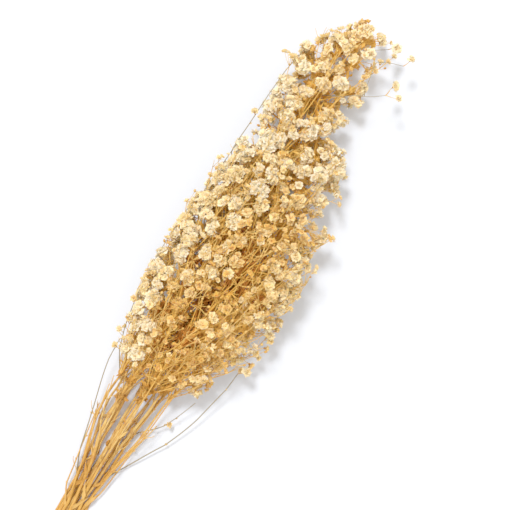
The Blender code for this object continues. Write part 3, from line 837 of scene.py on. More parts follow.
def frames(lines):
    """Directions across and up at every point of many lines (line, point, 3). Both stay square to the
    line, and across stays square to the axis that the whole line leans to least."""
    ways = units(np.gradient(lines, axis=-2))
    least = np.eye(3)[np.argmin(np.abs(lines[..., -1, :] - lines[..., 0, :]), axis=-1)]
    across = units(np.cross(least[..., None, :], ways))
    return across, np.cross(ways, across)


def arcs(starts, leaving, ends, arriving, count):
    """Many cubic curves at once (line, point, 3): each leaves its start and reaches its end in the given
    directions, with its two pulls a third of the straight distance long."""
    reach = np.linalg.norm(ends - starts, axis=-1, keepdims=True) / 3
    t = np.linspace(0, 1, count)[None, :, None]
    near, far = (starts + leaving * reach)[:, None], (ends - arriving * reach)[:, None]
    begin, close = starts[:, None], ends[:, None]
    return (1 - t) ** 3 * begin + 3 * (1 - t) ** 2 * t * near + 3 * (1 - t) * t**2 * far + t**3 * close


def arc(start, leaving, end, arriving, count):
    """One such curve between two points, as an array of one line."""
    return arcs(start[None], unit(leaving)[None], end[None], unit(arriving)[None], count)


def waved(lines, size, rng):
    """Lines bent sideways by a sine of drawn length and phase that fades to nothing at both ends."""
    across, up = frames(lines)
    t = np.linspace(0, 1, lines.shape[-2])[None, :, None]
    draws = rng.uniform(0, 1, (4, len(lines), 1, 1))
    sides = np.sin(2 * np.pi * (t * (0.7 + draws[0]) + draws[1])) * across
    sides += np.sin(2 * np.pi * (t * (0.7 + draws[2]) + draws[3])) * up
    return lines + sides * size * np.sin(np.pi * t)


def depth_in_head(points):
    """How deep points lie in the head: 0 at the outline and outside it, 1 along its middle, and up to 0.9
    more under a hollow."""
    # The finishes paint shade by this depth: the deeper, the browner or more golden.
    middle, half_width, half_thickness = outline_at(points[..., 1])
    across = (points[..., 0] - middle) / half_width
    up = (points[..., 2] - half_thickness) / half_thickness
    in_head = smooth_step(points[..., 1], 90 * MM, 170 * MM)
    depth = np.clip(1.08 - np.hypot(across, up), 0, 1) * in_head
    # Under a hollow the depth rises further, so that the finishes paint a dark brown shade there.
    for place_x, place_y, reach in HOLLOWS:
        off = np.hypot(points[..., 0] / MM - place_x, points[..., 1] / MM - place_y)
        depth = depth + smooth_step(-off, -1.3 * reach, -0.6 * reach) * smooth_step(-up, -0.8, -0.3) * 0.9
    return depth


class Gathering:
    """The points and faces of one piece, added as whole arrays.

    Every point carries a tint of four numbers, which the finishes read, and its place in the grain: two
    coordinates round the wood and one along it, in millimetres.
    """

    def __init__(self):
        self.points, self.tints, self.grains = [], [], []
        self.faces, self.finishes = [], []
        self.count = 0

    def add_points(self, points, tint, grain):
        """Adds an array of points and gives their numbers in the same arrangement."""
        shape = points.shape[:-1]
        self.points.append(points.reshape(-1, 3))
        self.tints.append(np.broadcast_to(tint, (*shape, 4)).reshape(-1, 4))
        self.grains.append(np.broadcast_to(grain, (*shape, 3)).reshape(-1, 3))
        numbers = self.count + np.arange(np.prod(shape)).reshape(shape)
        self.count += numbers.size
        return numbers

    def add_faces(self, corners, finish):
        """Adds faces by the numbers of their corners, with the number of their finish."""
        self.faces += corners.reshape(-1, corners.shape[-1]).tolist()
        self.finishes.append(np.full(corners.size // corners.shape[-1], finish))

    def add_sheets(self, grids, tint, finish, grain=(0, 0, 0)):
        """Grids (sheet, row, column, 3): a face between every two rows and two columns."""
        numbers = self.add_points(grids, tint, grain)
        here, beside = numbers[:, :, :-1], numbers[:, :, 1:]
        self.add_faces(np.stack([here[:, :-1], beside[:, :-1], beside[:, 1:], here[:, 1:]], -1), finish)

    def add_tubes(self, rings, tint, finish, grain, end_tint=None):
        """Rings (tube, ring, side, 3), each joined to the next, with a fan of faces over both ends, from
        the middle of the last ring there."""
        numbers = self.add_points(rings, tint, grain)
        beside = np.roll(numbers, -1, axis=2)
        body = np.stack([numbers[:, :-1], beside[:, :-1], beside[:, 1:], numbers[:, 1:]], -1)
        self.add_faces(body, finish)
        whole = np.broadcast_to(tint, (*rings.shape[:-1], 4))
        for end in (0, -1):
            middles = rings[:, end].mean(1)
            middle_tint = whole[:, end].mean(1) if end_tint is None else end_tint
            hub = self.add_points(middles, middle_tint, (0, 0, 0))[:, None]
            hub = np.broadcast_to(hub, numbers[:, 0].shape)
            pair = (beside[:, 0], numbers[:, 0]) if end == 0 else (numbers[:, -1], beside[:, -1])
            self.add_faces(np.stack([hub, *pair], -1), finish)

    def piece(self, name, node, finishes):
        """The mesh object, riding on the only body in the place of its plain solid."""
        mesh = bpy.data.meshes.new(name)
        points = np.clip(np.concatenate(self.points), LOWEST, HIGHEST) - CENTRE
        mesh.from_pydata(points.tolist(), [], self.faces)
        tint = mesh.attributes.new("tint", "FLOAT_COLOR", "POINT")
        tint.data.foreach_set("color", np.concatenate(self.tints).astype(np.float32).ravel())
        grain = mesh.attributes.new("grain", "FLOAT_VECTOR", "POINT")
        grain.data.foreach_set("vector", np.concatenate(self.grains).astype(np.float32).ravel())
        for finish in finishes:
            mesh.materials.append(finish)
        mesh.polygons.foreach_set("material_index", np.concatenate(self.finishes).astype(np.int32))
        mesh.shade_smooth()
        made = bpy.data.objects.new(name, mesh)
        bpy.context.scene.collection.objects.link(made)
        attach(made, "root")
        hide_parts(node)


def tubes(lines, radii, sides, shape=1.0):
    """Rings along many lines: a ring's points lie at the radius there, times shape, in evenly turned
    directions across the line. Gives the rings and their places in the grain."""
    across, up = frames(lines)
    angles = 2 * np.pi * np.arange(sides) / sides
    out = np.cos(angles)[:, None] * across[..., None, :] + np.sin(angles)[:, None] * up[..., None, :]
    reach = np.asarray(radii)[..., None] * np.broadcast_to(shape, sides)
    along = np.linalg.norm(np.diff(lines, axis=-2, prepend=lines[..., :1, :]), axis=-1).cumsum(-1)
    grain = np.stack([reach * np.cos(angles), reach * np.sin(angles), along[..., None] + 0 * reach], -1)
    return lines[..., None, :] + out * reach[..., None], grain / MM


def wood_tint(lines, sides, draws, fineness, mark=0.0):
    """Tint of wood along many lines: a draw for each line, which rises where the head is golden and towards
    the cut ends, how fine the wood is, its depth in the head, and a mark that is 1 at joints and -1 on cuts.
    """
    # The finish paints shade by this depth: the deeper the wood lies in the head, the browner it turns.
    depth = depth_in_head(lines)
    draws = np.asarray(draws)[:, None] + 0.6 * goldness(lines)
    draws = draws + 0.5 * smooth_step(-lines[..., 1], -90 * MM, -30 * MM)
    parts = np.broadcast_arrays(draws, fineness, depth, mark)
    return np.repeat(np.stack(parts, -1)[:, :, None], sides, axis=2)


def add_stem(gathering, stem, rng):
    """The main stem: a round tube with shallow ribs, a swollen collar at every joint, and a slanting cut.

    The radius is the plain one times a drawn share that shrinks into the head, plus a bell-shaped swelling
    round each joint and a slow sine, all times 1 plus the ribs' height times the cosine of their number
    times the angle. The middle line sways aside by a sine, and the rings lean over towards the cut.
    """
    length = lengthwise(stem.points)[-1]
    line = smooth_line(stem.points, int(length / STEM_RING_STEP), 0.2)
    along = line[:, 1]
    phases = rng.uniform(0, 2 * np.pi, 2)
    line[:, 0] += STEM_SWAY * np.sin(along / (9 * MM) + phases[0])
    off = np.abs(along[:, None] - stem.joints[None]).min(1)
    swelling = np.exp(-((off / COLLAR_LENGTH) ** 2))
    slimming = rng.uniform(0.8, 0.98) - 0.4 * smooth_step(along, 60 * MM, 210 * MM)
    plain = np.interp(along, stem.points[:, 1], stem.plain_radii)
    radii = plain * (slimming + COLLAR_SWELLING * swelling)
    radii += STEM_UNEVENNESS * np.sin(along / (5 * MM) + phases[1])
    line[:, 2] = np.maximum(line[:, 2], radii * 1.02)
    angles = 2 * np.pi * np.arange(STEM_DETAIL) / STEM_DETAIL
    ribs = 1 + RIB_HEIGHT * np.cos(RIBS * angles + phases[0])
    rings, grain = tubes(line[None], radii[None], STEM_DETAIL, ribs)
    leaning = np.clip(1 - (along - along[0]) / CUT_LENGTH, 0, 1)
    rings[0, :, :, 1] += leaning[:, None] * CUT_SLANT * np.cos(angles + phases[1])
    tint = wood_tint(line[None], STEM_DETAIL, [rng.uniform()], 0.0, swelling[None])
    cut_tint = np.array([rng.uniform(), 0, 0, -1])
    gathering.add_tubes(rings, tint, WOOD, grain, cut_tint)


def add_twigs(gathering, lines, radii, sides, rng, fineness):
    """Thin wood along many lines: it tapers evenly from the first radius to the second, and has a
    bell-shaped swelling at its root."""
    t = np.linspace(0, 1, lines.shape[1])[None]
    swelling = ROOT_SWELLING * np.exp(-((t / ROOT_LENGTH) ** 2))
    thickness = (radii[0] + (radii[1] - radii[0]) * t) * (1 + swelling)
    rings, grain = tubes(lines, np.repeat(thickness, len(lines), axis=0), sides)
    tint = wood_tint(lines, sides, rng.uniform(0, 1, len(lines)), fineness)
    gathering.add_tubes(rings, tint, WOOD, grain)


def add_blades(gathering, lines, half_width, fold, rolls, tones, rng):
    """Narrow dry leaves, bracts and scales: a sheet of three points across along each line. The half width
    grows as a sine to its most at a third of the length and shrinks as a cosine to a point, the middle lies
    lower by fold times it, every point is a little off, and the sheet is rolled and twisted about its line.
    """
    t = np.linspace(0, 1, lines.shape[1])[None]
    shape = np.where(t < 0.35, 0.35 + 0.65 * np.sin(np.pi * t / 0.7), np.cos(np.pi * (t - 0.35) / 1.3))
    half = np.broadcast_to(half_width, len(lines))[:, None] * np.clip(shape, 0.06, 1)
    half = half * rng.uniform(0.8, 1.15, half.shape)
    across, up = frames(lines)
    twists = t * rng.uniform(-0.5, 0.5, (len(lines), 1))
    rolls = (np.broadcast_to(rolls, len(lines))[:, None] + twists)[..., None]
    side = np.cos(rolls) * across + np.sin(rolls) * up
    lift = np.cos(rolls) * up - np.sin(rolls) * across
    edge = side * half[..., None]
    grid = np.stack([lines - edge, lines - lift * fold * half[..., None], lines + edge], 2)
    grid += rng.normal(0, LEAF_CRUMPLE, grid.shape[:3])[..., None] * half[..., None, None] * lift[:, :, None]
    tint = wood_tint(lines, 3, tones, 0.5)
    beside = np.array([-1, 0, 1]) * half[..., None] / MM
    along = np.linalg.norm(lines - lines[:, :1], axis=-1)[..., None] / MM
    grain = np.stack(np.broadcast_arrays(beside, 0.0, along), -1)
    gathering.add_sheets(grid, tint, LEAF, grain)


def add_petals(gathering, bases, axes, radii, opening, tones, depths, rng, layers=LAYERS):
    """The petals of many florets, in layers, each petal a sheet of 3 by 3 points.

    Along a petal v goes from 0 to 1, and across it u from 1 to -1. A point lies length times v from the
    base, leaning from the floret's axis by the layer's tilt and half its bend times v. It lies u times
    the half width to the side, and off the petal by a cup that grows with u squared and by a crumple
    drawn for every point. The tip is notched in its middle and its corners are drawn in.
    """
    v, u = np.array(PETAL_ROWS)[:, None], np.array([1.0, 0.0, -1.0])[None]
    tip = np.where(v < 1, 1.0, np.where(u == 0, PETAL_NOTCH, PETAL_CORNERS))
    across, up = (ways[:, None, None, None] for ways in square_to(axes))
    bases, axes, breadth, tones, depths = (
        part[:, None, None, None] for part in (bases, axes, radii, tones, depths)
    )
    for layer, (count, tilt, length, width, bend) in enumerate(layers):
        many = (len(bases), count)
        turns = 2 * np.pi * (np.arange(count) + 0.5 * layer) / count + rng.normal(0, 0.3, many)
        size = radii[:, None] * rng.uniform(0.72, 1.15, many)
        lean = np.radians(tilt) * opening[:, None] + rng.normal(0, 0.26, many)
        lean = lean[..., None, None] + np.radians(bend) * v / 2
        reach = size[..., None, None] * length * v * tip
        half = breadth * width * np.interp(v, PETAL_ROWS, PETAL_WIDTHS)
        cup = half * u**2 * rng.uniform(-0.25, 0.5, many)[..., None, None]
        off = cup + rng.normal(0, PETAL_CRUMPLE, (*many, 3, 3)) * v * breadth
        out = reach * np.sin(lean) - off * np.cos(lean)
        rise = reach * np.cos(lean) + off * np.sin(lean)
        aside = u * half + rng.normal(0, PETAL_UNEVENNESS, (*many, 3, 3)) * breadth
        cos, sin = np.cos(turns)[..., None, None, None], np.sin(turns)[..., None, None, None]
        outward, sideways = cos * across + sin * up, cos * up - sin * across
        points = bases + outward * out[..., None] + sideways * aside[..., None] + axes * rise[..., None]
        tone = tones + rng.normal(0, 0.13, many)[..., None, None]
        tint = np.stack(np.broadcast_arrays(tone, v, depths, (layer + 0.5) / len(layers)), -1)
        tint = np.broadcast_to(tint, (*many, 3, 3, 4))
        gathering.add_sheets(points.reshape(-1, 3, 3, 3), tint.reshape(-1, 3, 3, 4), PETAL)


def add_cups(gathering, profile, bases, axes, radii, tones, depths):
    """Five-sided calyxes or closed buds: rings round each axis at the profile's heights, with the profile's
    radii, both as shares of the floret's or the bud's own radius."""
    heights, shares = np.array(profile).T
    lines = bases[:, None] + axes[:, None] * radii[:, None, None] * heights[None, :, None]
    rings, grain = tubes(lines, radii[:, None] * shares, 5)
    tint = np.stack(np.broadcast_arrays(tones[:, None, None], 0.0, depths[:, None, None], 0.0), -1)
    gathering.add_tubes(rings, np.broadcast_to(tint, (*rings.shape[:-1], 4)), LEAF, grain)


def goldness(points):
    """How golden and bare the head is at points, from 0 to 1: in a wide band along its middle, and higher
    up right of the middle."""
    x, y = points[..., 0] / MM, points[..., 1] / MM
    across = smooth_step(x, -24, -2) * smooth_step(-x, -60, -44)
    middle = across * smooth_step(y, 95, 135) * smooth_step(-y, -322, -286)
    right = smooth_step(x, 6, 20) * smooth_step(y, 270, 290) * smooth_step(-y, -352, -328)
    return np.maximum(middle, 0.9 * right)


def in_hollow(points):
    """Whether points lie over a hollow, in the upper third of the head, or in a gap of the tip."""
    _, _, half_thickness = outline_at(points[..., 1])
    over = within(points, HOLLOWS, 0.9) & (points[..., 2] > 1.3 * half_thickness)
    return over | within(points, GAPS)


def fullness(heads):
    """How many florets fill the places of blooms: many on the left and on top, few on the right, where the
    head is golden, at its foot and in its tip, but never very few along its edges. None lie over the
    hollows, where the inside shows."""
    x, y, _ = heads.T / MM
    middle, half_width, half_thickness = outline_at(heads[:, 1])
    many = 6.2 + 1.6 * smooth_step(-x, -4, 14) * smooth_step(y, 180, 230)
    many -= 3.7 * goldness(heads) + 2.0 * smooth_step(-y, -190, -150) + 2.2 * smooth_step(y, 370, 410)
    at_edge = (np.abs(heads[:, 0] - middle) > 0.72 * half_width) & (y > 140) & (y < 320)
    many = np.where(at_edge, np.maximum(many, 3.6 + smooth_step(y, 160, 175)), many)
    return np.where(within(heads, HOLLOWS) & (heads[:, 2] > half_thickness), 0.0, many)


@dataclass
class Florets:
    """All florets of the bunch as arrays: the stem that each grows on, its middle, its axis, its radius,
    the fork that its stalk comes from, the way of the stalk there, its tone and its opening."""

    owners: np.ndarray
    places: np.ndarray
    axes: np.ndarray
    radii: np.ndarray
    forks: np.ndarray
    ways: np.ndarray
    tones: np.ndarray
    opening: np.ndarray


def cluster(head, foot, many, openness, rng):
    """The florets in the place of one bloom. Seen along the way out they lie on a spiral: each is turned
    on from the last by the same angle, at a distance that grows with the root of its number, on a low dome.
    The more open the cluster, the wider it is and the nearer to the foot its stalks part."""
    way = unit(head - foot)
    across, up = around(way)
    count = max(1, int(np.floor(many + rng.uniform())))
    turns = np.radians(SPIRAL_TURN) * np.arange(count) + rng.uniform(0, 2 * np.pi)
    spread = CLUSTER_SPREAD * np.sqrt(count / 4) * (1 + 0.45 * openness)
    distance = spread * np.sqrt((np.arange(count) + 0.25) / count)
    side = np.cos(turns)[:, None] * across + np.sin(turns)[:, None] * up
    rise = 1.8 * MM - 0.5 * distance**2 / max(spread, 1e-6) + rng.normal(0, (0.8 + openness) * MM, count)
    places = head + side * distance[:, None] + way * rise[:, None]
    outward = side * (1.15 * distance / max(spread, 1e-6))[:, None]
    axes = units(way + outward + rng.normal(0, 0.34, (count, 3)))
    fork = foot + (head - foot) * (0.5 - 0.3 * openness)
    return places, axes, np.tile(fork, (count, 1)), np.tile(way, (count, 1))


def place_florets(stems, rng):
    """Fills the place of every bloom with florets, then pushes apart those that lie too close, and leaves
    out those over a hollow. A lone bloom is a single floret that looks up."""
    found, groups = [], []
    sprays = [(owner, spray) for owner, stem in enumerate(stems) for spray in stem.sprays if spray.heads]
    for owner, spray in sprays:
        for head, many in zip(spray.heads, fullness(np.array(spray.heads))):
            if many < 0.5:
                continue
            many *= rng.choice(CLUSTER_SHARES, p=LEFT_CHANCES if head[0] < LEFT_END else RIGHT_CHANCES)
            many = 1.0 if spray.lone else many
            openness = smooth_step(head[0], 8 * MM, 34 * MM)
            places, axes, forks, ways = cluster(head, spray.foot, many, openness, rng)
            axes = units(axes + [0, 0, 0.9]) if spray.lone else axes
            count = len(places)
            groups.append(np.full(count, len(groups)))
            radii = rng.uniform(*FLORET_RADII, count)
            is_half_open = rng.uniform(size=count) < HALF_OPEN_SHARE
            opening = np.where(is_half_open, rng.uniform(0.45, 0.7, count), 1.0)
            radii *= np.where(is_half_open, 0.8, 1.0)
            tones = rng.uniform() * 0.6 + rng.uniform(0, 0.4, count)
            tones += 0.55 * goldness(head) - 0.3 * smooth_step(head[1], 300 * MM, 330 * MM)
            tones += 0.35 * smooth_step(head[1], 395 * MM, 430 * MM)
            found.append((np.full(count, owner), places, axes, radii, forks, ways, tones, opening))
    florets = Florets(*(np.concatenate(parts) for parts in zip(*found)))
    groups = np.concatenate(groups)
    share = np.where(groups[:, None] == groups[None], *SPACINGS)
    for _ in range(FLORET_PUSHES):
        gap = florets.places[:, None] - florets.places[None]
        distance = np.linalg.norm(gap, axis=-1)
        wanted = share * (florets.radii[:, None] + florets.radii[None])
        np.fill_diagonal(wanted, 0)
        short = np.clip(wanted - distance, 0, None) / np.maximum(distance, 1e-6)
        florets.places += 0.25 * (gap * short[..., None]).sum(1)
        florets.places = held_inside(florets.places, florets.radii[:, None] * 1.1)
    kept = ~in_hollow(florets.places)
    return Florets(*(getattr(florets, part.name)[kept] for part in fields(florets)))


def add_florets(wood, blooms, florets, mine, rng):
    """One stem's florets with their calyxes and hair-thin stalks."""
    axes, radii = florets.axes[mine], florets.radii[mine]
    bases = florets.places[mine] - axes * radii[:, None] * 0.3
    depths = depth_in_head(florets.places[mine])
    tones = florets.tones[mine]
    add_petals(blooms, bases, axes, radii, florets.opening[mine], tones, depths, rng)
    add_cups(blooms, CALYX, bases, axes, radii, tones, depths)
    ends = bases - axes * radii[:, None] * 0.5
    leaving = units(florets.ways[mine] + 0.8 * units(ends - florets.forks[mine]))
    lines = arcs(florets.forks[mine], leaving, ends, axes, 5)
    add_twigs(wood, lines, HAIR_RADII, 3, rng, 1.0)


def add_umbel(wood, blooms, foot, way, lengths, spread, bud_share, rng, withered_share=WITHERED_SHARE):
    """Hair-thin stalks that spread from a foot, each turned away from the way ahead by a drawn angle up to
    spread. Some are bare, some end in a bud, and some in a small withered floret."""
    count = len(lengths)
    across, up = square_to(way)
    turn = rng.uniform(0, 2 * np.pi, (count, 1))
    lean = rng.uniform(0.15, spread, (count, 1))
    aims = units(way * np.cos(lean) + (across * np.cos(turn) + up * np.sin(turn)) * np.sin(lean))
    ends = held_inside(foot + aims * lengths[:, None], WITHERED_RADII[1])
    arriving = units(aims + 0.5 * way)
    lines = waved(arcs(np.tile(foot, (count, 1)), aims, ends, arriving, 5), 0.25 * MM, rng)
    add_twigs(wood, lines, HAIR_RADII, 3, rng, 1.0)
    draws = rng.uniform(size=count)
    budded, withered = draws < bud_share, (draws > 1 - withered_share) & ~in_hollow(ends)
    if withered.any():
        places, axes = ends[withered], arriving[withered]
        depths = depth_in_head(places)
        radii = rng.uniform(*WITHERED_RADII, len(places)) * (1 + 0.5 * np.minimum(depths, 1))
        # The deeper a withered floret lies, the higher its tone and the more golden it turns: painted shade,
        # on top of its own drawn tone.
        tones = rng.uniform(0.5, 1.3, len(places)) + 0.9 * depths + 0.45 * goldness(places)
        opening = rng.uniform(0.6, 1.05, len(places))
        add_petals(blooms, places, axes, radii, opening, tones, depths, rng, WITHERED_LAYERS)
    if budded.any():
        places, axes = ends[budded], arriving[budded]
        radii, tones = rng.uniform(*BUD_RADII, len(places)), rng.uniform(0, 1, len(places))
        add_cups(blooms, BUD, places, axes, radii, tones, depth_in_head(places))


def add_spray_wood(wood, blooms, spray, rng):
    """A twig from its fork to its foot, with the stalks of its blooms. A lone one has scales at every
    second bend. Any other has side twigs, each with an umbel, and an umbel at its foot."""
    length = lengthwise(spray.points)[-1]
    line = smooth_line(spray.points, max(5, int(length / TWIG_RING_STEP)), SHARP if spray.lone else 1.0)
    line = lifted(waved(line[None], min(0.9 * MM, length * 0.02), rng), 0.6 * MM)
    slimness = 1.0
    if spray.lone:
        slimness = 0.6 if spray.foot[1] > 300 * MM else 1.1
    radii = (spray.radii[0] * 0.72 * slimness, spray.radii[-1] * 0.62 * slimness)
    add_twigs(wood, line, radii, 7, rng, -1.0 if spray.lone else 0.4)
    line = line[0]
    for head in spray.heads:
        fork = spray.foot + (head - spray.foot) * 0.5
        way = unit(head - spray.foot)
        add_twigs(wood, arc(spray.foot, way + spray.facing, fork, way, 5), BLOOM_STALK_RADII, 5, rng, 0.7)
    if spray.lone:
        for corner, after in zip(spray.points[2:-1:2], spray.points[3::2]):
            place = line[np.linalg.norm(line - corner, axis=1).argmin()]
            for _ in range(2):
                add_bracts(wood, place, unit(after - corner), rng, 0.0)
        return
    lengths = rng.uniform(7, 15, int(rng.integers(3, 7))) * MM
    add_umbel(wood, blooms, spray.foot, spray.facing, lengths, 1.15, 0.2, rng)
    for share in np.arange(0.35, 0.9, 14 * MM / max(length, 14 * MM)):
        number = int(share * (len(line) - 1))
        place, ahead = line[number], unit(line[number + 1] - line[number])
        aim = unit(ahead + 0.75 * spokes(ahead, 1, rng.uniform(0, 2 * np.pi))[0])
        end = held_inside(place + aim * (rng.uniform(7, 20) * MM), 2 * MM)
        add_twigs(wood, arc(place, ahead + aim, end, ahead + aim, 6), SIDE_TWIG_RADII, 5, rng, 0.8)
        lengths = rng.uniform(4, 9, int(rng.integers(2, 5))) * MM
        add_umbel(wood, blooms, end, unit(ahead + aim), lengths, 1.0, 0.25, rng)
        add_bracts(wood, place, ahead, rng)


def add_bracts(wood, place, ahead, rng, dryness=1.0):
    """Two small dry scales that clasp a joint."""
    sides = spokes(ahead, 2, rng.uniform(0, 2 * np.pi))
    ends = place + (ahead * 2.0 + sides * 1.1) * rng.uniform(0.7, 1.3) * MM
    lines = arcs(np.tile(place, (2, 1)), units(ahead + 1.4 * sides), ends, units(ahead + 0.3 * sides), 4)
    add_blades(wood, lines, 0.6 * MM, 0.3, rng.uniform(0, np.pi), dryness * rng.uniform(0.5, 1.5, 2), rng)


def add_fine_twigs(wood, blooms, stem, rng):
    """Fine twigs that leave the stem and run forward, with a few bare stalks on their ends: the first ones
    inside the head, the others out to its upper side and over the florets."""
    last = stem.points[-1, 1] / MM
    for number in range(UNDER_TWIGS + OVER_TWIGS):
        is_over = number >= UNDER_TWIGS
        y = (rng.uniform(150, last + 12) if is_over else rng.uniform(135, min(last - 20, 330))) * MM
        middle, half_width, half_thickness = outline_at(y)
        size = np.array([half_width, half_thickness])
        out = on_stem(stem, y)[::2] - [middle, half_thickness] + rng.normal(0, 0.35, 2) * size
        if is_over:
            out = (out + [0.15 * half_width, 0.7 * half_thickness]) * 3
        out /= max(1.0, np.hypot(*(out / size)) / (1.03 if is_over else 0.86))
        end = np.array([middle + out[0], y, max(half_thickness + out[1], 2 * MM)])
        end = held_inside(end, 3 * MM)
        place = on_stem(stem, max(y - rng.uniform(35, 75) * MM, rng.uniform(104, 130) * MM))
        way = unit(end - place)
        arriving = way + 0.8 * ALONG
        line = lifted(waved(arc(place, way + ALONG, end, arriving, 14), 0.8 * MM, rng), 0.7 * MM)
        add_twigs(wood, line, FINE_TWIG_RADII, 6, rng, 0.55)
        few = int(rng.integers(2, 5)) if is_over else int(rng.integers(3, 7)) + (3 if y < 200 * MM else 0)
        lengths = rng.uniform(5, 13, few) * MM
        bud_share = 0.2 if y > 160 * MM else 0.0
        withered_share = 0.3 if is_over or y < 190 * MM else WITHERED_SHARE
        add_umbel(wood, blooms, end, unit(arriving), lengths, 1.1, bud_share, rng, withered_share)
        add_bracts(wood, line[0, 7], unit(line[0, 8] - line[0, 7]), rng)


def add_low_shoots(wood, stem, rng):
    """Thin shoots that leave the stem low down and run up into the head with a bend and a side twig at
    every joint, and short broken stubs at the stem's own joints."""
    for _ in range(LOW_SHOOTS):
        y = rng.uniform(100, 195) * MM
        middle, half_width, half_thickness = outline_at(y)
        place = on_stem(stem, rng.uniform(0, 62) * MM)
        end = on_stem(stem, y) + rng.normal(0, 9 * MM, 3) * [1, 0, 0.8]
        end[0] = np.clip(end[0], middle - half_width * 0.92, middle + half_width * 0.92)
        end[2] = np.clip(end[2], 2 * MM, half_thickness * 1.85)
        knots = place + (end - place) * np.array([0, 0.2, 0.42, 0.68, 1])[:, None]
        knots[1:-1, ::2] += rng.normal(0, 1.5 * MM, (3, 2))
        knots = lifted(knots, 1.2 * MM)
        line = smooth_line(knots, int(lengthwise(knots)[-1] / TWIG_RING_STEP), SHARP)
        add_twigs(wood, line[None], (rng.uniform(0.7, 1.15) * MM, 0.4 * MM), 7, rng, 0.3)
        for knot, after in zip(knots[1:-1], knots[2:]):
            ahead = unit(after - knot)
            add_bracts(wood, knot, ahead, rng)
            aim = unit(ahead + 0.7 * spokes(ahead, 1, rng.uniform(0, WHOLE_TURN))[0])
            tip = lifted(knot + aim * rng.uniform(6, 22) * MM, 0.6 * MM)
            side = waved(arc(knot, aim, tip, aim + 0.8 * ALONG, 7), 0.4 * MM, rng)
            add_twigs(wood, side, SHOOT_TWIG_RADII, 5, rng, 0.6)
    for joint in stem.joints[stem.joints < 150 * MM]:
        knot = on_stem(stem, joint)
        aim = unit(ALONG + rng.uniform(0.5, 0.9) * spokes(ALONG, 1, rng.uniform(0, WHOLE_TURN))[0])
        tip = lifted(knot + aim * rng.uniform(3.5, 10) * MM, 0.8 * MM)
        add_twigs(wood, arc(knot, aim, tip, aim, 4), STUB_RADII, 7, rng, 0.2)


def add_clump(wood, place, reach, rng):
    """Crumpled brown leaves: short blades that leave a joint mostly along the stem, some forward and some
    back, and curl over at their ends."""
    count = CLUMP_LEAVES
    aims = units(rng.normal(0, 0.75, (count, 3)) + np.outer(rng.choice([-0.5, 1.3], count), [0, 1, 0.15]))
    starts = place + rng.normal(0, 0.13, (count, 3)) * reach * MM
    ends = lifted(starts + aims * reach * MM * rng.uniform(0.3, 0.75, (count, 1)), 0.8 * MM)
    starts = lifted(starts, 0.8 * MM)
    curls = units(aims + rng.normal(0, 1.1, (count, 3)))
    lines = arcs(starts, units(aims + rng.normal(0, 0.8, (count, 3))), ends, curls, 6)
    half_widths, rolls = rng.uniform(0.9, 2.1, count) * MM, rng.uniform(0, np.pi, count)
    add_blades(wood, lines, half_widths, 0.7, rolls, rng.uniform(0.6, 1.7, count), rng)


def add_nest(wood, stem, rng):
    """Short fine golden stalks, bent every way, that fill the foot of the head between the twigs."""
    starts = np.array([on_stem(stem, y) for y in rng.uniform(120, 185, NEST_STALKS) * MM])
    aims = units(rng.normal(0, 1, starts.shape) * [0.75, 0.3, 0.6] + [0, 1, 0.1])
    ends = held_inside(starts + aims * rng.uniform(12, 30, (NEST_STALKS, 1)) * MM, MM)
    curls = units(aims + rng.normal(0, 0.7, starts.shape))
    lines = waved(arcs(starts, units(aims + ALONG), ends, curls, 8), 0.7 * MM, rng)
    add_twigs(wood, lifted(lines, 0.6 * MM), NEST_RADII, 4, rng, 0.3)


def add_inner_leaves(wood, stem, rng):
    """Dry brown leaf remains that cling to the twigs low inside the head, so that little of the table shows
    through it: two at each place, bent every way, and held within the head's width."""
    carriers = [smooth_line(spray.points, 9)[2:8] for spray in stem.sprays if not spray.lone]
    starts = np.concatenate(carriers)
    _, _, half_thickness = outline_at(starts[:, 1])
    is_low = (starts[:, 2] < half_thickness * 1.25) & (starts[:, 1] > 125 * MM)
    starts = np.repeat(starts[is_low], 2, axis=0)
    aims = units(rng.normal(0, 1, starts.shape) + [0, 0.5, -0.2])
    ends = starts + aims * rng.uniform(6, 13, (len(starts), 1)) * MM
    middle, half_width, _ = outline_at(ends[:, 1])
    ends[:, 0] = np.clip(ends[:, 0], middle - 0.85 * half_width, middle + 0.85 * half_width)
    curls = units(aims + rng.normal(0, 0.8, aims.shape))
    leaving = units(aims + rng.normal(0, 0.5, aims.shape))
    lines = arcs(starts, leaving, lifted(ends, 0.8 * MM), curls, 5)
    half_widths = rng.uniform(1.2, 2.4, len(lines)) * MM
    rolls, tones = rng.uniform(0, np.pi, len(lines)), rng.uniform(0.3, 1.3, len(lines))
    add_blades(wood, lines, half_widths, 0.5, rolls, tones, rng)


def add_star(wood, blooms, stem, place, rng):
    """A bare umbel over a hollow: a twig from the stem, and straight stalks that spread from its end."""
    foot = np.array([*place, 2 * outline_at(place[1])[2] - STAR_DEPTH])
    root = on_stem(stem, foot[1] - 34 * MM)
    way = unit(foot - root)
    line = waved(arc(root, way + ALONG, foot, way + [0, 0.2, 0.6], 12), 0.6 * MM, rng)
    add_twigs(wood, line, STAR_RADII, 6, rng, 0.5)
    lengths = rng.uniform(8, 14, STAR_STALKS) * MM
    add_umbel(wood, blooms, foot, unit(np.array([0, 0.35, 1.0])), lengths, 1.5, 0.3, rng)


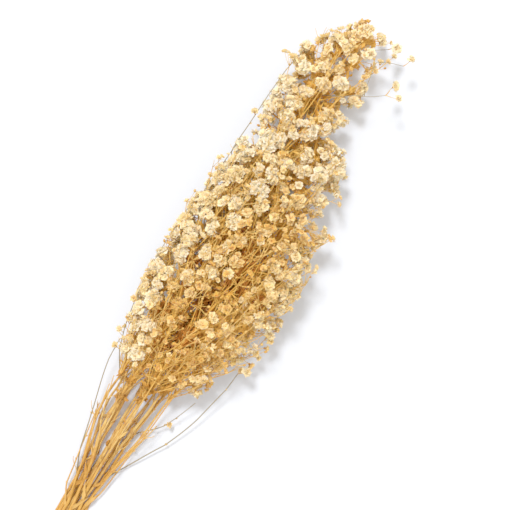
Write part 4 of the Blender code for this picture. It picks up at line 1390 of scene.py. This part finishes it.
def add_straps(wood, stem, owner, rng):
    """Old leaves that lie over the lower stems: each leaves its stem, arches over the next ones and ends
    in a torn tip."""
    shape = np.array([(0, 0, 0), (0.2, 0.3, 1.6), (0.62, 0.66, 1.4), (1, 1, 0.4)])
    for along, length, turn in rows_of(STRAPS, owner):
        start = on_stem(stem, along * MM) + [0, 0, 0.8 * MM]
        reach = length * MM * np.array([np.sin(np.radians(turn)), np.cos(np.radians(turn))])
        line = smooth_line(start + shape * [*reach, 1.2 * MM], 12)[None]
        half_width, roll = rng.uniform(1.2, 1.9) * MM, rng.uniform(-0.5, 0.5)
        add_blades(wood, line, half_width, 0.5, roll, [rng.uniform(0, 0.6)], rng)


def add_edge_stalks(wood, blooms, stem, owner, rng):
    """The thin stalks that run along the edges, with a pair of scales at each bend and florets on short
    stalks of their own."""
    for leaves_at, radius, fineness, corners, tips in rows_of(EDGE_STALKS, owner):
        knots = np.vstack([on_stem(stem, leaves_at * MM), MM * np.array(corners, float)])
        line = smooth_line(knots, int(lengthwise(knots)[-1] / TWIG_RING_STEP), SHARP)
        radii = (radius * MM, 0.64 * radius * MM)
        add_twigs(wood, waved(line[None], 0.5 * MM, rng), radii, 6, rng, fineness)
        for knot, after in zip(knots[1:-1], knots[2:]):
            add_bracts(wood, knot, unit(after - knot), rng, 0.0)
        if not tips:
            continue
        ends = MM * np.array(tips, float)
        starts = line[np.linalg.norm(line[None] - ends[:, None], axis=-1).argmin(1) - 1]
        ways = units(units(ends - starts) + [0, 0, 0.8])
        add_twigs(wood, arcs(starts, ways, ends, ways, 4), TIP_STALK_RADII, 4, rng, 0.8)
        radii, opening = rng.uniform(3.0, 4.2, len(ends)) * MM, rng.uniform(0.6, 0.95, len(ends))
        tones, depths = rng.uniform(0.6, 1.3, len(ends)), np.zeros(len(ends))
        add_petals(blooms, ends, ways, radii, opening, tones, depths, rng)
        add_cups(blooms, CALYX, ends, ways, radii, tones, depths)


def add_leaves(wood, stem, rng):
    """Narrow leaves at the lower joints, and the dry remains of a pair of leaves at every joint."""
    for line in stem.leaves:
        blade = smooth_line(line, 12)[None]
        add_blades(wood, blade, 1.25 * MM, 0.45, rng.uniform(-0.4, 0.4), [rng.uniform()], rng)
    for joint in stem.joints:
        radius = np.interp(joint, stem.points[:, 1], stem.radii)
        sides = spokes(ALONG, 2, rng.uniform(0, 2 * np.pi))
        length = rng.uniform(3, 8) * MM
        starts = on_stem(stem, joint) + sides * radius * 0.7
        ends = lifted(starts + ALONG * length + sides * rng.uniform(0.1, 0.45) * length, 0.5 * MM)
        lines = arcs(starts, units(sides + 0.8 * ALONG), ends, units(sides * 0.2 + ALONG), 6)
        half_width, roll = rng.uniform(0.7, 1.2) * MM, rng.uniform(0, np.pi)
        add_blades(wood, lines, half_width, 0.5, roll, rng.uniform(0, 1, 2), rng)


def star_places(stems):
    """For each stem, the hollows that lie nearest to it, as places seen from above."""
    places = [[] for _ in stems]
    for x, y, _ in MM * np.array(HOLLOWS):
        start = y - 20 * MM
        over = np.array([x, start, 2 * outline_at(y)[2]])
        away = [np.linalg.norm(on_stem(stem, start) - over) for stem in stems]
        places[int(np.argmin(away))].append((x, y))
    return places


def dress(number, stem, florets, stars, finishes):
    """The two pieces that stand for one plain stem: its wood and leaves, and its florets and buds."""
    rng = np.random.default_rng([SEED, number])
    owner = number - 1
    wood, blooms = Gathering(), Gathering()
    add_stem(wood, stem, rng)
    add_leaves(wood, stem, rng)
    for spray in stem.sprays:
        add_spray_wood(wood, blooms, spray, rng)
    add_fine_twigs(wood, blooms, stem, rng)
    add_low_shoots(wood, stem, rng)
    add_nest(wood, stem, rng)
    add_inner_leaves(wood, stem, rng)
    for place in stars:
        add_star(wood, blooms, stem, place, rng)
    add_straps(wood, stem, owner, rng)
    add_edge_stalks(wood, blooms, stem, owner, rng)
    for along, reach in rows_of(DRY_CLUMPS, owner):
        add_clump(wood, on_stem(stem, along * MM) + [0, 0, 1.5 * MM], reach, rng)
    add_florets(wood, blooms, florets, florets.owners == owner, rng)
    node = f"gypsophila_stem_{number:02d}"
    wood.piece(f"stem_{number:02d}_wood", node, finishes)
    blooms.piece(f"stem_{number:02d}_florets", node, finishes)


def feed(tree, socket, value):
    """Links an input socket from another node's socket, or sets it to a plain value."""
    if isinstance(value, bpy.types.NodeSocket):
        tree.links.new(value, socket)
    else:
        socket.default_value = value


def new_node(tree, kind, inputs=None, **settings):
    """A node with its settings, and each of its inputs fed."""
    made = tree.nodes.new(kind)
    for name, value in settings.items():
        setattr(made, name, value)
    for name, value in (inputs or {}).items():
        feed(tree, made.inputs[name], value)
    return made


def mixed(tree, share, first, second, blend="MIX"):
    """The colour socket of a mix of two colours. The node's inputs 0, 6 and 7 are the share and the two."""
    colours = {0: share, 6: first, 7: second}
    return new_node(tree, "ShaderNodeMix", colours, data_type="RGBA", blend_type=blend).outputs[2]


def layered(tree, base, layers):
    """A colour under layers of others. A layer's share goes from the third to the fourth of its numbers as
    the value that it follows goes from the first to the second."""
    for colour, value, *ranges in layers:
        base = mixed(tree, scaled(tree, value, *ranges), base, colour)
    return base


def joined(tree, first, second, operation):
    """The socket of two values added or multiplied."""
    return new_node(tree, "ShaderNodeMath", {0: first, 1: second}, operation=operation).outputs[0]


def scaled(tree, value, low, high, to_low=0.0, to_high=1.0):
    """The socket of a value taken from one range to another and held within it."""
    inputs = {"Value": value, "From Min": low, "From Max": high, "To Min": to_low, "To Max": to_high}
    return new_node(tree, "ShaderNodeMapRange", inputs).outputs[0]


def new_group(name, inputs, outputs):
    """An empty node group with named sockets, and its input and output nodes."""
    group = bpy.data.node_groups.new(name, "ShaderNodeTree")
    for label, kind, value in inputs:
        socket = group.interface.new_socket(label, in_out="INPUT", socket_type=kind)
        if value is not None:
            socket.default_value = value
    for label, kind in outputs:
        group.interface.new_socket(label, in_out="OUTPUT", socket_type=kind)
    return group, group.nodes.new("NodeGroupInput"), group.nodes.new("NodeGroupOutput")


def drift_group():
    """Uneven drying: patches of a second colour over the first, in noise of a given size, and the tone of
    each floret or twig, which shifts it further."""
    sockets = [
        ("Fresh", COLOUR, None),
        ("Dry", COLOUR, None),
        ("Tone", VALUE, 0.5),
        ("Place", VECTOR, None),
        ("Size", VALUE, 60.0),
    ]
    group, start, end = new_group("uneven_drying", sockets, [("Color", COLOUR)])
    at, size = start.outputs["Place"], start.outputs["Size"]
    patches = new_node(group, "ShaderNodeTexNoise", {"Vector": at, "Scale": size, "Detail": 3.0})
    amount = joined(group, patches.outputs[0], start.outputs["Tone"], "ADD")
    share = scaled(group, amount, 0.55, 1.45)
    group.links.new(mixed(group, share, start.outputs["Fresh"], start.outputs["Dry"]), end.inputs[0])
    return group


def fibre_group():
    """Fibres along the wood: noise in the grain's own coordinates, drawn out twelve times along it."""
    sockets = [("Grain", VECTOR, None), ("Fineness", VALUE, 3.0)]
    group, start, end = new_group("fibres", sockets, [("Mask", VALUE), ("Height", VALUE)])
    inputs = {"Vector": start.outputs["Grain"], "Scale": (1.0, 1.0, 0.08)}
    drawn_out = new_node(group, "ShaderNodeMapping", inputs)
    fine = {"Vector": drawn_out.outputs[0], "Scale": start.outputs["Fineness"], "Detail": 4.0}
    noise = new_node(group, "ShaderNodeTexNoise", fine)
    group.links.new(scaled(group, noise.outputs[0], 0.35, 0.65), end.inputs["Mask"])
    group.links.new(noise.outputs[0], end.inputs["Height"])
    return group


def crumple_group():
    """Crumpled paper: the edges between cells of a pattern, added to distorted noise."""
    sockets = [("Place", VECTOR, None), ("Size", VALUE, 900.0)]
    group, start, end = new_group("crumpled_paper", sockets, [("Height", VALUE), ("Mask", VALUE)])
    cells = {"Vector": start.outputs["Place"], "Scale": start.outputs["Size"]}
    noise = new_node(group, "ShaderNodeTexNoise", {**cells, "Detail": 3.0, "Distortion": 1.2})
    edges = new_node(group, "ShaderNodeTexVoronoi", cells, feature="DISTANCE_TO_EDGE")
    height = joined(group, noise.outputs[0], edges.outputs["Distance"], "ADD")
    group.links.new(height, end.inputs["Height"])
    group.links.new(scaled(group, noise.outputs[0], 0.4, 0.62), end.inputs["Mask"])
    return group


def grouped(tree, group, inputs):
    """A shared effect placed in a material, with each of its inputs fed."""
    return new_node(tree, "ShaderNodeGroup", inputs, node_tree=group)


def dried(tree, drift, fresh, dry, tone, place, size):
    """The colour socket of uneven drying from one colour to another."""
    inputs = {"Fresh": fresh, "Dry": dry, "Tone": tone, "Place": place, "Size": size}
    return grouped(tree, drift, inputs).outputs[0]


def fibrous(tree, fibres, fineness):
    """The node of the fibres, in the grain that every point carries."""
    grain = new_node(tree, "ShaderNodeAttribute", attribute_name="grain").outputs["Vector"]
    return grouped(tree, fibres, {"Grain": grain, "Fineness": fineness})


def new_finish(name):
    """An empty material with its shader, the tint's four numbers, and the object's own coordinates."""
    finish = bpy.data.materials.new(name)
    finish.use_nodes = True
    tree = finish.node_tree
    shader = tree.nodes["Principled BSDF"]
    tint = new_node(tree, "ShaderNodeAttribute", attribute_name="tint")
    parts = new_node(tree, "ShaderNodeSeparateColor", {"Color": tint.outputs["Color"]})
    place = new_node(tree, "ShaderNodeTexCoord").outputs["Object"]
    return finish, tree, shader, (*parts.outputs[:3], tint.outputs["Alpha"]), place


def surfaced(tree, shader, base, pattern, roughness, strength, distance):
    """Feeds the shader its colour, its roughness, which follows the pattern's mask from one value to
    another, and its normal, which the pattern's height raises."""
    tree.links.new(base, shader.inputs["Base Color"])
    rough = scaled(tree, pattern.outputs["Mask"], 0.0, 1.0, *roughness)
    tree.links.new(rough, shader.inputs["Roughness"])
    inputs = {"Height": pattern.outputs["Height"], "Strength": strength, "Distance": distance}
    tree.links.new(new_node(tree, "ShaderNodeBump", inputs).outputs[0], shader.inputs["Normal"])


def wood_finish(drift, fibres):
    """Dry straw-coloured wood: golden, browner at the joints, pale where it is cut, and grey where its
    fineness is -1. Painted shade turns it browner deeper inside the head and dark brown under the hollows."""
    finish, tree, shader, (draw, fine, depth, mark), place = new_finish("dried_stem_wood")
    streaks = fibrous(tree, fibres, 3.2)
    base = dried(tree, drift, STRAW, OCHRE, draw, place, 70.0)
    base = layered(tree, base, [(PALE_STRAW, fine, 0.3, 1.0, 0.0, 0.75)])
    dark = mixed(tree, 1.0, base, STREAK, "MULTIPLY")
    layers = [
        (dark, streaks.outputs["Mask"], 0.0, 1.0, 0.0, 0.8),
        # Painted shade: browner the deeper the wood lies in the head, and dark brown under the hollows.
        (INSIDE_SHADE_BROWN, depth, 0.05, 0.6, 0.0, 0.75),
        (HOLLOW_SHADE_BROWN, depth, *HOLLOW_DEPTHS, 0.0, 0.85),
        (WIRE_STRAW, fine, -0.9, -0.2, 1.0, 0.0),
        (JOINT_BROWN, mark, 0.2, 1.0, 0.0, 0.8),
        (PITH, mark, -0.9, -0.2, 1.0, 0.0),
    ]
    surfaced(tree, shader, layered(tree, base, layers), streaks, (0.5, 0.7), 0.5, 0.0002)
    shader.inputs["Specular IOR Level"].default_value = 0.35
    return finish


def leaf_finish(drift, fibres):
    """Thin dry leaf and bract: brown to straw, with fine veins along it."""
    finish, tree, shader, (draw, _, depth, _), place = new_finish("dried_leaf")
    veins = fibrous(tree, fibres, 5.0)
    base = dried(tree, drift, LEAF_STRAW, LEAF_BROWN, draw, place, 120.0)
    layers = [
        (mixed(tree, 1.0, base, STREAK, "MULTIPLY"), veins.outputs["Mask"], 0.0, 1.0, 0.0, 0.5),
        # Painted shade: browner the deeper the leaf lies in the head, and dark brown under the hollows.
        (INSIDE_SHADE_BROWN, depth, 0.1, 0.8, 0.0, 0.6),
        (HOLLOW_SHADE_BROWN, depth, *HOLLOW_DEPTHS, 0.0, 0.85),
    ]
    surfaced(tree, shader, layered(tree, base, layers), veins, (0.6, 0.8), 0.6, 0.0003)
    shader.inputs["Specular IOR Level"].default_value = 0.3
    return finish


def petal_finish(drift, crumple):
    """Papery cream petals: ivory to butter yellow, deeper towards their base, with a toasted edge here and
    there. Painted shade turns inner layers butter yellow, deeper florets golden and those under hollows
    brown."""
    finish, tree, shader, (tone, along, depth, layer), place = new_finish("dried_petal")
    paper = grouped(tree, crumple, {"Place": place, "Size": 1100.0})
    base = dried(tree, drift, IVORY, BUTTER, tone, place, 90.0)
    edge = joined(tree, scaled(tree, along, 0.75, 1.0), paper.outputs["Mask"], "MULTIPLY")
    layers = [
        (THROAT, along, 0.0, 0.5, 0.4, 0.0),
        # Painted shade: inner layers turn butter yellow where the petals crowd in the floret's middle.
        (BUTTER, layer, 0.4, 1.0, 0.0, 0.25),
        (TOASTED, edge, 0.2, 1.0, 0.0, 0.35),
        # Painted shade: golden the deeper the floret lies in the head, and brown under the hollows.
        (INSIDE_SHADE_GOLD, depth, 0.2, 0.62, 0.0, 0.95),
        (WITHERED_GOLD, tone, 0.95, 1.7, 0.0, 0.9),
        (HOLLOW_SHADE_BROWN, depth, *HOLLOW_DEPTHS, 0.0, 0.9),
    ]
    surfaced(tree, shader, layered(tree, base, layers), paper, (0.65, 0.85), 0.35, 0.0003)
    shader.inputs["Specular IOR Level"].default_value = 0.2
    shader.inputs["Sheen Weight"].default_value = 0.15
    shader.inputs["Subsurface Weight"].default_value = 0.35
    shader.inputs["Subsurface Radius"].default_value = (1.0, 0.75, 0.45)
    shader.inputs["Subsurface Scale"].default_value = 0.002
    return finish


def floor_and_light():
    """A wide white floor, one broad light from the left of the flower tips, and even light all round."""
    scene = bpy.context.scene
    mesh = bpy.data.meshes.new("floor")
    corners = [(x * FLOOR_REACH, y * FLOOR_REACH, 0) for x, y in ((-1, -1), (1, -1), (1, 1), (-1, 1))]
    mesh.from_pydata(corners, [], [(0, 1, 2, 3)])
    floor = bpy.data.objects.new("floor", mesh)
    scene.collection.objects.link(floor)
    paint = bpy.data.materials.new("white_floor")
    paint.use_nodes = True
    shader = paint.node_tree.nodes["Principled BSDF"]
    shader.inputs["Base Color"].default_value = FLOOR_WHITE
    shader.inputs["Roughness"].default_value = 0.9
    shader.inputs["Specular IOR Level"].default_value = 0.1
    mesh.materials.append(paint)
    lamp = bpy.data.lights.new("window", "SUN")
    lamp.energy = KEY_STRENGTH
    lamp.angle = np.radians(KEY_SIZE)
    window = bpy.data.objects.new("window", lamp)
    window.rotation_mode = "QUATERNION"
    window.rotation_quaternion = Vector(KEY_FROM).to_track_quat("Z", "Y")
    scene.collection.objects.link(window)
    world = bpy.data.worlds.new("room")
    world.use_nodes = True
    world.node_tree.nodes["Background"].inputs["Color"].default_value = ROOM_COLOUR
    world.node_tree.nodes["Background"].inputs["Strength"].default_value = ROOM_STRENGTH
    scene.world = world
    scene.view_settings.view_transform = "Standard"
    scene.view_settings.exposure = EXPOSURE
    scene.view_settings.gamma = GAMMA


def camera():
    """Looks straight down, turned so that the bunch lies from the lower left to the upper right."""
    lens = bpy.data.cameras.new("camera")
    lens.lens = FOCAL_LENGTH
    lens.sensor_width = SENSOR_WIDTH
    seen = bpy.data.objects.new("camera", lens)
    seen.location = (*VIEW_CENTRE, VIEW_LEVEL + VIEW_WIDTH * FOCAL_LENGTH / SENSOR_WIDTH)
    seen.rotation_euler = (0, 0, np.radians(VIEW_TURN))
    bpy.context.scene.collection.objects.link(seen)
    bpy.context.scene.camera = seen


def main():
    """Grows the bunch, dresses every stem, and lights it."""
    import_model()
    drift, fibres, crumple = drift_group(), fibre_group(), crumple_group()
    finishes = (wood_finish(drift, fibres), leaf_finish(drift, fibres), petal_finish(drift, crumple))
    stems = grow()
    florets = place_florets(stems, np.random.default_rng([SEED, 0]))
    stars = star_places(stems)
    for number, stem in enumerate(stems, 1):
        dress(number, stem, florets, stars[number - 1], finishes)
    floor_and_light()
    camera()


main()
